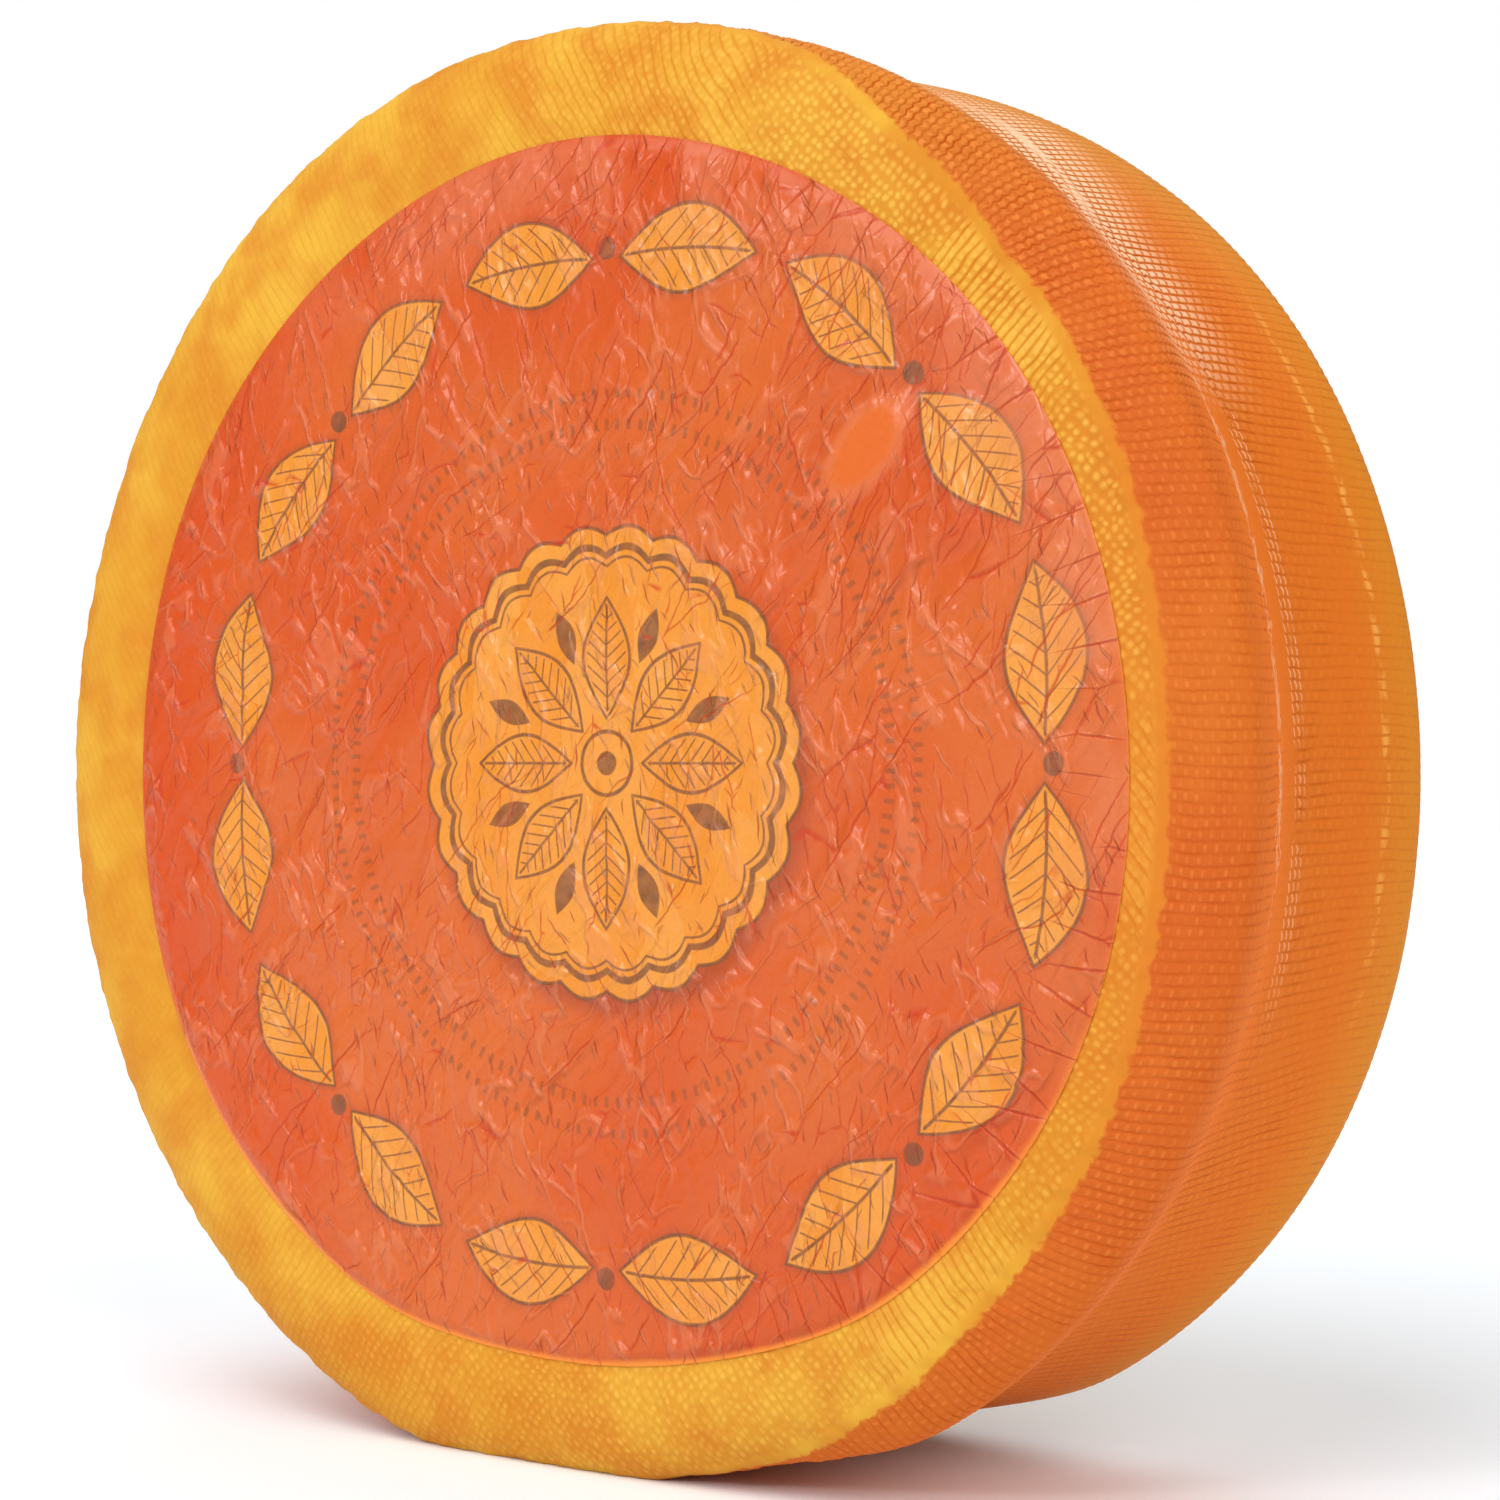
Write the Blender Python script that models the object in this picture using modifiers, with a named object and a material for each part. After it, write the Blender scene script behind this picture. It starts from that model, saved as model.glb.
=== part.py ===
"""A whole wheel of semi-soft cheese standing on its rim, with a printed film on its front face.

The wheel lies in a frame with +Z up. Its turning axis runs along Y, the front face with the film
looks along -Y, and the origin is on the floor under the middle of the wheel. All sizes are metres.
"""

import math

import bmesh
import bpy
from mathutils import Matrix

# Driving dimensions of the wheel.
WHEEL_RADIUS = 0.110
WHEEL_THICKNESS = 0.064
RIM_ROUND_RADIAL = 0.0170      # how far the rounded rim reaches in from the side
RIM_ROUND_AXIAL = 0.0075       # how far the rounded rim reaches back from the face
WAIST_RADIUS = 0.1067          # the side pulls in to this radius between its two rims
WAIST_DEPTH = 0.0232           # the waist's place, measured back from the front face

# How the soft cheese has settled on the floor.
CENTRE_HEIGHT = 0.1044         # the turning axis above the floor
CONTACT_PRESS = 0.0010         # the last squeeze that makes the two rims truly flat on the floor
OLD_FLAT_ANGLE = math.radians(13.2)
OLD_FLAT_DISTANCE = 0.1051     # an older resting flat beside the present one
FLAT_SOFTNESS = 0.008          # share of the radius over which a flat blends into the round
FACE_SOFTNESS = 0.025          # the same on the face, where the flats show less

# Slow unevenness of the hand-turned rim: waves round the wheel, height in metres, phase in degrees.
RIM_WAVES = (
    (2, 0.00022, 237.0),
    (3, 0.00028, 147.0),
    (4, 0.00040, 198.0),
    (5, 0.00035, 66.0),
)

# The printed film.
FILM_RADIUS = 0.0912
FILM_OFFSET_X = 0.0040         # the film was laid a little to the right of the middle
FILM_GAP = 0.0003
FILM_THICKNESS = 0.0006        # the film together with the height of its small wrinkles

# How finely the round shapes are divided.
TURN_STEPS = 96
ROUND_STEPS = 6
FRONT_FLANK_STEPS = 7
BACK_FLANK_STEPS = 11

# The film stands in front of the face, so half of that depth keeps the origin under the middle.
FACE_Y = (FILM_GAP + FILM_THICKNESS - WHEEL_THICKNESS) / 2


def clear_scene():
    for old in list(bpy.data.objects):
        bpy.data.objects.remove(old, do_unlink=True)


def make_collection(name):
    collection = bpy.data.collections.new(name)
    bpy.context.scene.collection.children.link(collection)
    return collection


def make_material(name, colour, roughness, metallic=0.0):
    """A Principled material; the colour is linear red, green and blue."""
    material = bpy.data.materials.new(name)
    material.use_nodes = True
    shader = material.node_tree.nodes["Principled BSDF"]
    shader.inputs["Base Color"].default_value = (*colour, 1.0)
    shader.inputs["Roughness"].default_value = roughness
    shader.inputs["Metallic"].default_value = metallic
    return material


def soft_minimum(first, second, softness):
    """The smaller of two values, with the corner between them rounded."""
    low = min(first, second)
    spread = math.exp((low - first) / softness) + math.exp((low - second) / softness)
    return low - softness * math.log(spread)


def flat_factor(angle, direction, distance):
    """Radius of a straight flat across the round, as a share of the wheel's radius."""
    turn = math.remainder(angle - direction, 2 * math.pi)
    if abs(turn) > math.radians(60.0):
        return 2.0
    return distance / WHEEL_RADIUS / math.cos(turn)


def outline_factor(angle, softness):
    """Share of the true round that the settled wheel keeps; angle 0 is straight down, +X positive."""
    factor = 1.0
    for count, height, phase in RIM_WAVES:
        factor += height / WHEEL_RADIUS * math.cos(count * angle + math.radians(phase))
    contact = flat_factor(angle, 0.0, CENTRE_HEIGHT + CONTACT_PRESS)
    older = flat_factor(angle, OLD_FLAT_ANGLE, OLD_FLAT_DISTANCE)
    factor = soft_minimum(factor, older, softness)
    return soft_minimum(factor, contact, softness)


def side_radius(depth):
    """Radius of the side at a depth behind the front face, between the two rounded rims."""
    if depth < WAIST_DEPTH:
        share = (depth - RIM_ROUND_AXIAL) / (WAIST_DEPTH - RIM_ROUND_AXIAL)
    else:
        back_rim = WHEEL_THICKNESS - RIM_ROUND_AXIAL
        share = (back_rim - depth) / (back_rim - WAIST_DEPTH)
    pull = 0.5 - 0.5 * math.cos(math.pi * share)
    return WHEEL_RADIUS + (WAIST_RADIUS - WHEEL_RADIUS) * pull


def rim_points():
    """Radius and depth of the rounded front rim, from the face out to the side."""
    points = []
    for step in range(ROUND_STEPS + 1):
        turn = math.pi / 2 * step / ROUND_STEPS
        radius = WHEEL_RADIUS - RIM_ROUND_RADIAL * (1 - math.sin(turn))
        points.append((radius, RIM_ROUND_AXIAL * (1 - math.cos(turn))))
    return points


def flank_points(start, end, steps):
    """Points of the side strictly between two depths."""
    depths = [start + (end - start) * step / steps for step in range(1, steps)]
    return [(side_radius(depth), depth) for depth in depths]


def wheel_profile():
    """Half section of the wheel, from the middle of the front face to the middle of the back."""
    front_rim = rim_points()
    back_rim = [(radius, WHEEL_THICKNESS - depth) for radius, depth in reversed(front_rim)]
    points = [(0.0, 0.0)]
    points += front_rim
    points += flank_points(RIM_ROUND_AXIAL, WAIST_DEPTH, FRONT_FLANK_STEPS)
    points.append((WAIST_RADIUS, WAIST_DEPTH))
    points += flank_points(WAIST_DEPTH, WHEEL_THICKNESS - RIM_ROUND_AXIAL, BACK_FLANK_STEPS)
    points += back_rim
    points.append((0.0, WHEEL_THICKNESS))
    return points


def axis_to_world():
    """Takes a shape turned about +Z, its front face up at height 0, to its place on the floor."""
    place = Matrix.Translation((0.0, FACE_Y, CENTRE_HEIGHT))
    return place @ Matrix.Rotation(math.radians(90.0), 4, "X")


def turned_mesh(name, profile):
    """A profile of radius and depth pairs, turned about Z by a Screw modifier."""
    outline = bpy.data.meshes.new(name + "_outline")
    vertices = [(radius, 0.0, -depth) for radius, depth in profile]
    edges = [(index, index + 1) for index in range(len(profile) - 1)]
    outline.from_pydata(vertices, edges, [])
    guide = bpy.data.objects.new(name + "_guide", outline)
    bpy.context.scene.collection.objects.link(guide)
    screw = guide.modifiers.new("Turn", "SCREW")
    screw.axis = "Z"
    screw.angle = 2 * math.pi
    screw.steps = TURN_STEPS
    screw.render_steps = TURN_STEPS
    screw.use_merge_vertices = True
    screw.merge_threshold = 0.00001
    bpy.context.view_layer.update()
    evaluated = guide.evaluated_get(bpy.context.evaluated_depsgraph_get())
    mesh = bpy.data.meshes.new_from_object(evaluated)
    mesh.name = name
    bpy.data.objects.remove(guide, do_unlink=True)
    bpy.data.meshes.remove(outline)
    return mesh


def settle_mesh(mesh, softness):
    """Gives a mesh about the wheel's axis the settled outline, and flattens what meets the floor."""
    for vertex in mesh.vertices:
        across = vertex.co.x
        height = vertex.co.z - CENTRE_HEIGHT
        factor = outline_factor(math.atan2(across, -height), softness)
        vertex.co.x = across * factor
        vertex.co.z = max(CENTRE_HEIGHT + height * factor, 0.0)
    mesh.update()


def add_piece(name, mesh, material, collection):
    mesh.materials.clear()
    mesh.materials.append(material)
    mesh.shade_smooth()
    mesh.set_sharp_from_angle(angle=math.radians(40.0))
    piece = bpy.data.objects.new(name, mesh)
    collection.objects.link(piece)
    return piece


def make_cheese_wheel(collection):
    """The whole uncut wheel: rind and cheese are one solid."""
    mesh = turned_mesh("cheese_wheel", wheel_profile())
    mesh.transform(axis_to_world())
    settle_mesh(mesh, FLAT_SOFTNESS)
    rind = make_material("orange_rind", (0.80, 0.26, 0.035), 0.45)
    return add_piece("cheese_wheel", mesh, rind, collection)


def make_printed_film(collection):
    """The round film that covers the middle of the front face."""
    shape = bmesh.new()
    bmesh.ops.create_cone(
        shape,
        cap_ends=True,
        segments=TURN_STEPS,
        radius1=FILM_RADIUS,
        radius2=FILM_RADIUS,
        depth=FILM_THICKNESS,
    )
    middle_height = FILM_GAP + FILM_THICKNESS / 2
    bmesh.ops.translate(shape, verts=shape.verts, vec=(FILM_OFFSET_X, 0.0, middle_height))
    mesh = bpy.data.meshes.new("printed_film")
    shape.to_mesh(mesh)
    shape.free()
    mesh.transform(axis_to_world())
    settle_mesh(mesh, FACE_SOFTNESS)
    film = make_material("printed_film", (0.76, 0.13, 0.05), 0.28)
    return add_piece("printed_film", mesh, film, collection)


def main():
    clear_scene()
    collection = make_collection("cheese_wheel_on_its_rim")
    make_cheese_wheel(collection)
    make_printed_film(collection)


main()
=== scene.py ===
# %% [markdown]
# # A whole cheese wheel standing on its rim
# The wheel is one solid of semi-soft cheese. It was pressed in a cloth, so its orange rind keeps the
# weave of that cloth as a fine relief, and a printed film covers the middle of its front face.
# The measured model is loaded first. The wheel below takes its place and thickness from that frame.

# %% Load the measured frame
import math

import bpy
import numpy as np
from mathutils import Matrix, Vector


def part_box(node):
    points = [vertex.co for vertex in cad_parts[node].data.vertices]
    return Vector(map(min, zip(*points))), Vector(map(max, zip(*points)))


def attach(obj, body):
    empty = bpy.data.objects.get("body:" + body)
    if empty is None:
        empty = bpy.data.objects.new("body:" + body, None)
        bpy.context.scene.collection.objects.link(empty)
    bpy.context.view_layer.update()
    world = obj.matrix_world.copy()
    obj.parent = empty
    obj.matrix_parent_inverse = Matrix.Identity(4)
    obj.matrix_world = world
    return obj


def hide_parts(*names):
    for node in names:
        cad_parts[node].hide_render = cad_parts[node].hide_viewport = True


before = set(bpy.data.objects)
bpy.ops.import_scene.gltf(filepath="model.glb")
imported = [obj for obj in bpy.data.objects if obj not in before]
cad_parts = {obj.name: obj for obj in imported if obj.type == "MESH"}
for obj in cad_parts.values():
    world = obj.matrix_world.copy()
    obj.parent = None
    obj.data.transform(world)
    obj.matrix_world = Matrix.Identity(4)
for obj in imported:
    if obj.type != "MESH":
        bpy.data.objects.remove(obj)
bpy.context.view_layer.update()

wheel_low, wheel_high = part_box("cheese_wheel")

# %% [markdown]
# ## Sizes
# The wheel's driving sizes are those of the measured model, in metres. The turning axis runs along Y,
# the front face looks along -Y, and an angle round the wheel is 0 straight down and 90 degrees at +X.

# %% Driving sizes of the wheel
WHEEL_RADIUS = 0.110
RIM_ROUND_RADIAL = 0.0170
RIM_ROUND_AXIAL = 0.0075
WAIST_RADIUS = 0.1067
WAIST_DEPTH = 0.0232
CENTRE_HEIGHT = 0.1044
FACE_Y = wheel_low[1]
THICKNESS = wheel_high[1] - wheel_low[1]

# The settled outline: slow waves of the rim, the flat it stands on and an older flat beside it.
CONTACT_PRESS = 0.0010
OLD_FLAT_ANGLE = math.radians(13.2)
OLD_FLAT_DISTANCE = 0.1051
FLAT_SOFTNESS = 0.008
FACE_SOFTNESS = 0.025
RIM_WAVES = ((2, 0.00022, 237.0), (3, 0.00028, 147.0), (4, 0.00040, 198.0), (5, 0.00035, 66.0))

# The film, laid a little to the right of the middle.
FILM_RADIUS = 0.0912
FILM_OFFSET_X = 0.0040

print("thickness in mm:", round(THICKNESS * 1000, 2))

# %% [markdown]
# ## One helper for all node trees
# Geometry Nodes and materials are both trees of nodes. A kind of node is Blender's type for it and the
# settings that make it that kind. One function adds a node of any kind to either sort of tree. It fills
# the node's open inputs in their order, or by name. Colours are written as the sRGB hex values that an
# eye would pick, and one function turns them to the linear values that Blender mixes in.

# %% Kinds of node, the node helper and the colour helper
ADD, SUBTRACT, MULTIPLY, DIVIDE, MULTIPLY_ADD, MAXIMUM, MINIMUM = (
    ("ShaderNodeMath", {"operation": name})
    for name in ("ADD", "SUBTRACT", "MULTIPLY", "DIVIDE", "MULTIPLY_ADD", "MAXIMUM", "MINIMUM")
)
SINE, COSINE, ARCTAN2, ABSOLUTE, PINGPONG, FRACTION = (
    ("ShaderNodeMath", {"operation": name})
    for name in ("SINE", "COSINE", "ARCTAN2", "ABSOLUTE", "PINGPONG", "FRACT")
)
VECTOR_ADD, VECTOR_SUBTRACT, VECTOR_MULTIPLY, VECTOR_MULTIPLY_ADD, VECTOR_SCALE = (
    ("ShaderNodeVectorMath", {"operation": name})
    for name in ("ADD", "SUBTRACT", "MULTIPLY", "MULTIPLY_ADD", "SCALE")
)
VECTOR_LENGTH, VECTOR_DOT, VECTOR_MAXIMUM, VECTOR_ABSOLUTE = (
    ("ShaderNodeVectorMath", {"operation": name})
    for name in ("LENGTH", "DOT_PRODUCT", "MAXIMUM", "ABSOLUTE")
)
SPLIT = ("ShaderNodeSeparateXYZ", {})
JOIN = ("ShaderNodeCombineXYZ", {})
TURN = ("ShaderNodeVectorRotate", {"rotation_type": "Y_AXIS"})
NOISE = ("ShaderNodeTexNoise", {})
FLAT_NOISE = ("ShaderNodeTexNoise", {"noise_dimensions": "2D"})
CELLS = ("ShaderNodeTexVoronoi", {"feature": "F1", "voronoi_dimensions": "2D"})
CELL_BORDERS = ("ShaderNodeTexVoronoi", {"feature": "DISTANCE_TO_EDGE", "voronoi_dimensions": "2D"})
RANGE = ("ShaderNodeMapRange", {})
SOFT_STEP = ("ShaderNodeMapRange", {"interpolation_type": "SMOOTHSTEP"})    # 0 before, 1 after
COLOUR_MIX = ("ShaderNodeMix", {"data_type": "RGBA"})
BUMP = ("ShaderNodeBump", {})


def add_node(tree, kind, *inputs, **named_inputs):
    """Adds a node of a kind. An input is a number, a colour, a node (its first open output) or a socket."""
    blender_type, settings = kind
    node = tree.nodes.new(blender_type)
    for name, value in settings.items():
        setattr(node, name, value)
    open_sockets = [socket for socket in node.inputs if socket.enabled]
    by_name = {socket.name: socket for socket in open_sockets}
    pairs = list(zip(open_sockets, inputs))
    pairs += [(by_name[name], value) for name, value in named_inputs.items()]
    for socket, value in pairs:
        if isinstance(value, bpy.types.Node):
            value = next(out for out in value.outputs if out.enabled)
        if isinstance(value, bpy.types.NodeSocket):
            tree.links.new(value, socket)
        else:
            socket.default_value = value
    return node


def linear(hex_colour):
    """An sRGB hex colour as linear red, green, blue and alpha."""
    channels = [int(hex_colour[start:start + 2], 16) / 255 for start in (1, 3, 5)]
    return [c / 12.92 if c <= 0.04045 else ((c + 0.055) / 1.055) ** 2.4 for c in channels] + [1.0]


print("helper ready, a mid grey is", round(linear("#808080")[0], 3))

# %% [markdown]
# ## The camera
# The photograph was taken from the right of the wheel at the height of its middle. The camera aims at
# the middle of the front face and is then turned a little, because that point isn't in the middle of
# the picture.

# %% Camera at the photograph's viewing angle
CAMERA_PLACE = Vector((0.29199747, -0.38957427, 0.10472254))
CAMERA_AIM = Vector((0.0, FACE_Y, CENTRE_HEIGHT))
CAMERA_YAW = 0.0602
CAMERA_PITCH = 0.0042
FOCAL_PIXELS = 3151
PHOTO_PIXELS = 1500
SENSOR = 36.0

camera_data = bpy.data.cameras.new("camera")
camera_data.sensor_width = SENSOR
camera_data.lens = SENSOR * FOCAL_PIXELS / PHOTO_PIXELS
camera_data.clip_start = 0.01
camera = bpy.data.objects.new("camera", camera_data)
bpy.context.scene.collection.objects.link(camera)
aim = (CAMERA_AIM - CAMERA_PLACE).to_track_quat("-Z", "Y").to_matrix()
turn = Matrix.Rotation(-CAMERA_YAW, 3, "Y") @ Matrix.Rotation(CAMERA_PITCH, 3, "X")
camera.matrix_world = Matrix.Translation(CAMERA_PLACE) @ (aim @ turn).to_4x4()
bpy.context.scene.camera = camera
print("lens in mm:", round(camera_data.lens, 2))

# %% [markdown]
# ## The wheel's form
# A wheel is a turned shape: one half section, swept round the axis. A Screw modifier would do it, but
# the imprint needs points in step with the threads of the cloth, so the rings are made here in numpy.
# The same rules as in the measured model give the section and the settled outline.

# %% Section and outline rules
def soft_minimum(first, second, softness):
    """The smaller of two values, with the corner between them rounded."""
    low = np.minimum(first, second)
    spread = np.exp((low - first) / softness) + np.exp((low - second) / softness)
    return low - softness * np.log(spread)


def turn_between(angle, direction):
    """The angles from a direction, between half a turn back and half a turn on."""
    return np.angle(np.exp(1j * (angle - direction)))


def flat_factor(angle, direction, distance):
    """Radius of a straight flat across the round, as a share of the wheel's radius."""
    offset = turn_between(angle, direction)
    near = np.abs(offset) <= math.radians(60.0)
    return np.where(near, distance / WHEEL_RADIUS / np.cos(np.where(near, offset, 0.0)), 2.0)


def outline_factor(angle, softness):
    """Share of the true round that the settled wheel keeps at an angle."""
    factor = np.ones_like(angle)
    for count, height, phase in RIM_WAVES:
        factor = factor + height / WHEEL_RADIUS * np.cos(count * angle + math.radians(phase))
    factor = soft_minimum(factor, flat_factor(angle, OLD_FLAT_ANGLE, OLD_FLAT_DISTANCE), softness)
    contact = flat_factor(angle, 0.0, CENTRE_HEIGHT + CONTACT_PRESS)
    return soft_minimum(factor, contact, softness)


def side_radius(depth):
    """Radius of the side at a depth behind the front face, between the two rounded rims."""
    back_rim = THICKNESS - RIM_ROUND_AXIAL
    front_share = (depth - RIM_ROUND_AXIAL) / (WAIST_DEPTH - RIM_ROUND_AXIAL)
    back_share = (back_rim - depth) / (back_rim - WAIST_DEPTH)
    share = np.where(depth < WAIST_DEPTH, front_share, back_share)
    return WHEEL_RADIUS + (WAIST_RADIUS - WHEEL_RADIUS) * (0.5 - 0.5 * np.cos(np.pi * share))


def half_section():
    """Radius, depth and length of path along the half section, from the front middle to the back."""
    rim_turn = np.linspace(0.0, np.pi / 2, 181)
    rim_radius = WHEEL_RADIUS - RIM_ROUND_RADIAL * (1 - np.sin(rim_turn))
    rim_depth = RIM_ROUND_AXIAL * (1 - np.cos(rim_turn))
    flank_depth = np.linspace(RIM_ROUND_AXIAL, THICKNESS - RIM_ROUND_AXIAL, 601)[1:-1]
    radius = np.concatenate([[0.0], rim_radius, side_radius(flank_depth), rim_radius[::-1], [0.0]])
    depth = np.concatenate([[0.0], rim_depth, flank_depth, THICKNESS - rim_depth[::-1], [THICKNESS]])
    steps = np.hypot(np.diff(radius), np.diff(depth))
    return radius, depth, np.concatenate([[0.0], np.cumsum(steps)])


SECTION_RADIUS, SECTION_DEPTH, SECTION_PATH = half_section()
TOTAL_PATH = SECTION_PATH[-1]


def rim_path(degrees):
    """Length of path to where the front rim has rounded by an angle."""
    return np.interp(degrees, np.linspace(0.0, 90.0, 181), SECTION_PATH[1:182])


WAIST_PATH = np.interp(WAIST_DEPTH, SECTION_DEPTH[100:-100], SECTION_PATH[100:-100])
BACK_BORDER = TOTAL_PATH - rim_path(40.0)
print("path in mm to waist and back rim:", [round(float(p) * 1000, 1) for p in (WAIST_PATH, BACK_BORDER)])

# %% [markdown]
# ## Threads of the cloth
# Round the side the cloth's rows run along the axis, 1.6 mm apart. The threads that cross them are
# 1.4 mm apart on the rim and spread to 2 mm on the flank. The rings have points on each row's crest
# and groove, and one ring on each crest and groove of the crossing threads back to just behind the
# waist. Behind that they can be coarser, because little of that part is seen from near.

# %% Places of the rings
ROWS = 432
FINE_COLUMNS = 3 * ROWS
SIDE_COLUMNS = 2 * ROWS
RING_START = 0.087            # the ring of bare rind begins under the film's edge
RING_SPACING = 0.00056        # distance between the rings of the front face, fine enough for its pimples
WEAVE_START = rim_path(25.0)
FINE_END = rim_path(60.0)
CLOSE_END = WAIST_PATH + 0.004
SPREAD_PATH = (0.112, 0.124)  # along this part of the section the crossing threads spread
HALF_THREADS = (0.00072, 0.00100)    # from this distance between crest and groove to this one


def half_thread(path):
    """Distance along the section from a crossing thread's crest to its groove."""
    return np.interp(path, SPREAD_PATH, HALF_THREADS)


def make_stations():
    """Rings from front to back, as (path, number of points, number of half threads)."""
    rings = [(0.03, 54), (0.06, 108), (0.08, ROWS)]
    rings += [(path, FINE_COLUMNS) for path in np.arange(RING_START, WEAVE_START - 0.0002, RING_SPACING)]
    stations = [(path, columns, (path - WEAVE_START) / half_thread(path)) for path, columns in rings]
    path, thread = WEAVE_START, 0
    while path < CLOSE_END:
        stations.append((path, FINE_COLUMNS if path < FINE_END else SIDE_COLUMNS, thread))
        path, thread = path + half_thread(path), thread + 1
    path, thread = path + half_thread(path) / 2, thread + 0.5
    while path < BACK_BORDER:
        stations.append((path, SIDE_COLUMNS, thread))
        path, thread = path + 2 * half_thread(path), thread + 2
    rings = [(path, ROWS) for path in np.linspace(BACK_BORDER, TOTAL_PATH - RING_START, 12)]
    rings += [(TOTAL_PATH - radius, 216) for radius in np.arange(0.084, 0.050, -0.004)]
    rings += [(TOTAL_PATH - radius, 108) for radius in np.arange(0.046, 0.010, -0.006)]
    stations += [(path, columns, thread) for path, columns in rings]
    return [(0.0, 1, 0.0)] + stations + [(TOTAL_PATH, 1, thread)]


stations = make_stations()
print("rings:", len(stations))

# %% [markdown]
# ## Sewing rings together
# Between rings with as many points the faces are quads. Where the count changes, triangles step along
# whichever ring lags behind. Each face corner also notes its row and thread, because a corner can say
# row 432 where the next face says row 0, so the pattern crosses the seam without a break. The cloth had
# slipped in places, so its rows wander. They zigzag a little from thread to thread, most of all over
# the top, so the rings are shifted in turn. At the sides the cloth was drawn level, so there the rows
# keep their height where the radius changes.

# %% Faces between rings, and the wheel's smooth mesh
ROW_SLIPS = (
    # how far the rows have slipped in metres, waves round the wheel, their lean across it, phase
    (0.00030, 3, 5.0, 0.0), (0.00022, 11, -7.0, 1.0), (0.00010, 37, 23.0, 0.0), (0.00006, 83, -31.0, 0.0),
)
REAR_SLIP = 0.0026            # one larger slip of the rows, low on the rear half of the side
REAR_SLIP_ANGLE = math.radians(58.0)
REAR_SLIP_SPREAD = math.radians(22.0)
ZIGZAG = 0.00020              # how far a row swings to one side at a thread where the weave is strong
ZIGZAG_STORY = (
    # angle, share of the zigzag
    (0.0, 0.35), (60.0, 0.30), (100.0, 0.30), (118.0, 0.85), (135.0, 1.0), (175.0, 1.0), (200.0, 0.5),
    (360.0, 0.35),
)


def strip_corners(low_count, high_count):
    """Faces between a lower and an upper ring, as corners of (0 or 1 for the ring, column)."""
    if low_count == 1:
        return [[(0, 0), (1, column), (1, column + 1)] for column in range(high_count)]
    if high_count == 1:
        return [[(0, column), (1, 0), (0, column + 1)] for column in range(low_count)]
    if low_count == high_count:
        columns = range(low_count)
        return [[(0, column), (1, column), (1, column + 1), (0, column + 1)] for column in columns]
    faces = []
    low = high = 0
    while low < low_count or high < high_count:
        if (low + 1) / low_count <= (high + 1) / high_count and low < low_count:
            faces.append([(0, low), (1, high), (0, low + 1)])
            low += 1
        else:
            faces.append([(0, low), (1, high), (1, high + 1)])
            high += 1
    return faces


def sew_rings(name, rings):
    """A closed mesh from rings of points, and the (ring, column) of each face corner."""
    starts = [0]
    for ring in rings:
        starts.append(starts[-1] + len(ring))
    faces = []
    corner_list = []
    for index in range(len(rings) - 1):
        counts = (len(rings[index]), len(rings[index + 1]))
        for corners in strip_corners(*counts):
            faces.append([starts[index + upper] + column % counts[upper] for upper, column in corners])
            corner_list += [(index + upper, column) for upper, column in corners]
    mesh = bpy.data.meshes.new(name)
    mesh.from_pydata(np.concatenate(rings).tolist(), [], faces)
    return mesh, corner_list


def level_shift(angle, path):
    """How far the rows move round the wheel, in metres, to stay level where the cloth was drawn so."""
    from_side = turn_between(angle, math.pi / 2)
    drawn_level = np.clip((math.radians(50.0) - np.abs(from_side)) / math.radians(30.0), 0.0, 1.0)
    drawn_level *= np.clip((min(path, TOTAL_PATH - path) - RING_START) / 0.009, 0.0, 1.0)
    radius = max(np.interp(path, SECTION_PATH, SECTION_RADIUS), 0.001)    # a face's middle has no radius
    rise = (WHEEL_RADIUS / radius - 1) * np.tan(from_side * (drawn_level > 0))
    return drawn_level * rise * WHEEL_RADIUS


def rear_slip(angle, across):
    """The larger slip of the rows, which grows from the waist back."""
    behind = np.clip((across - 0.36) / 0.42, 0.0, 1.0)
    off_place = turn_between(angle, REAR_SLIP_ANGLE) / REAR_SLIP_SPREAD
    return REAR_SLIP * np.exp(-off_place ** 2) * (behind * behind * (3 - 2 * behind))


def row_wander(angle, path, thread):
    """How far the cloth's rows have slipped round the wheel at a place, in metres."""
    across = (path - WEAVE_START) / (BACK_BORDER - WEAVE_START)
    slips = sum(height * np.sin(count * angle + lean * across + phase)
                for height, count, lean, phase in ROW_SLIPS)
    story = np.array(ZIGZAG_STORY)
    zigzag = ZIGZAG * np.interp(np.degrees(angle), story[:, 0], story[:, 1]) * math.cos(math.pi * thread)
    edge = np.clip(np.minimum(across, 1 - across) / 0.05, 0.0, 1.0)
    return (slips + rear_slip(angle, across) + zigzag) * edge + level_shift(angle, path)


def ring_points(path, columns, thread):
    """Points of one ring of the wheel."""
    true_angle = 2 * np.pi * np.arange(columns) / columns
    angle = true_angle + row_wander(true_angle, path, thread) / WHEEL_RADIUS
    radius = np.interp(path, SECTION_PATH, SECTION_RADIUS) * outline_factor(angle, FLAT_SOFTNESS)
    depth = np.full(columns, np.interp(path, SECTION_PATH, SECTION_DEPTH))
    return np.stack([radius * np.sin(angle), FACE_Y + depth, CENTRE_HEIGHT - radius * np.cos(angle)], 1)


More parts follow.
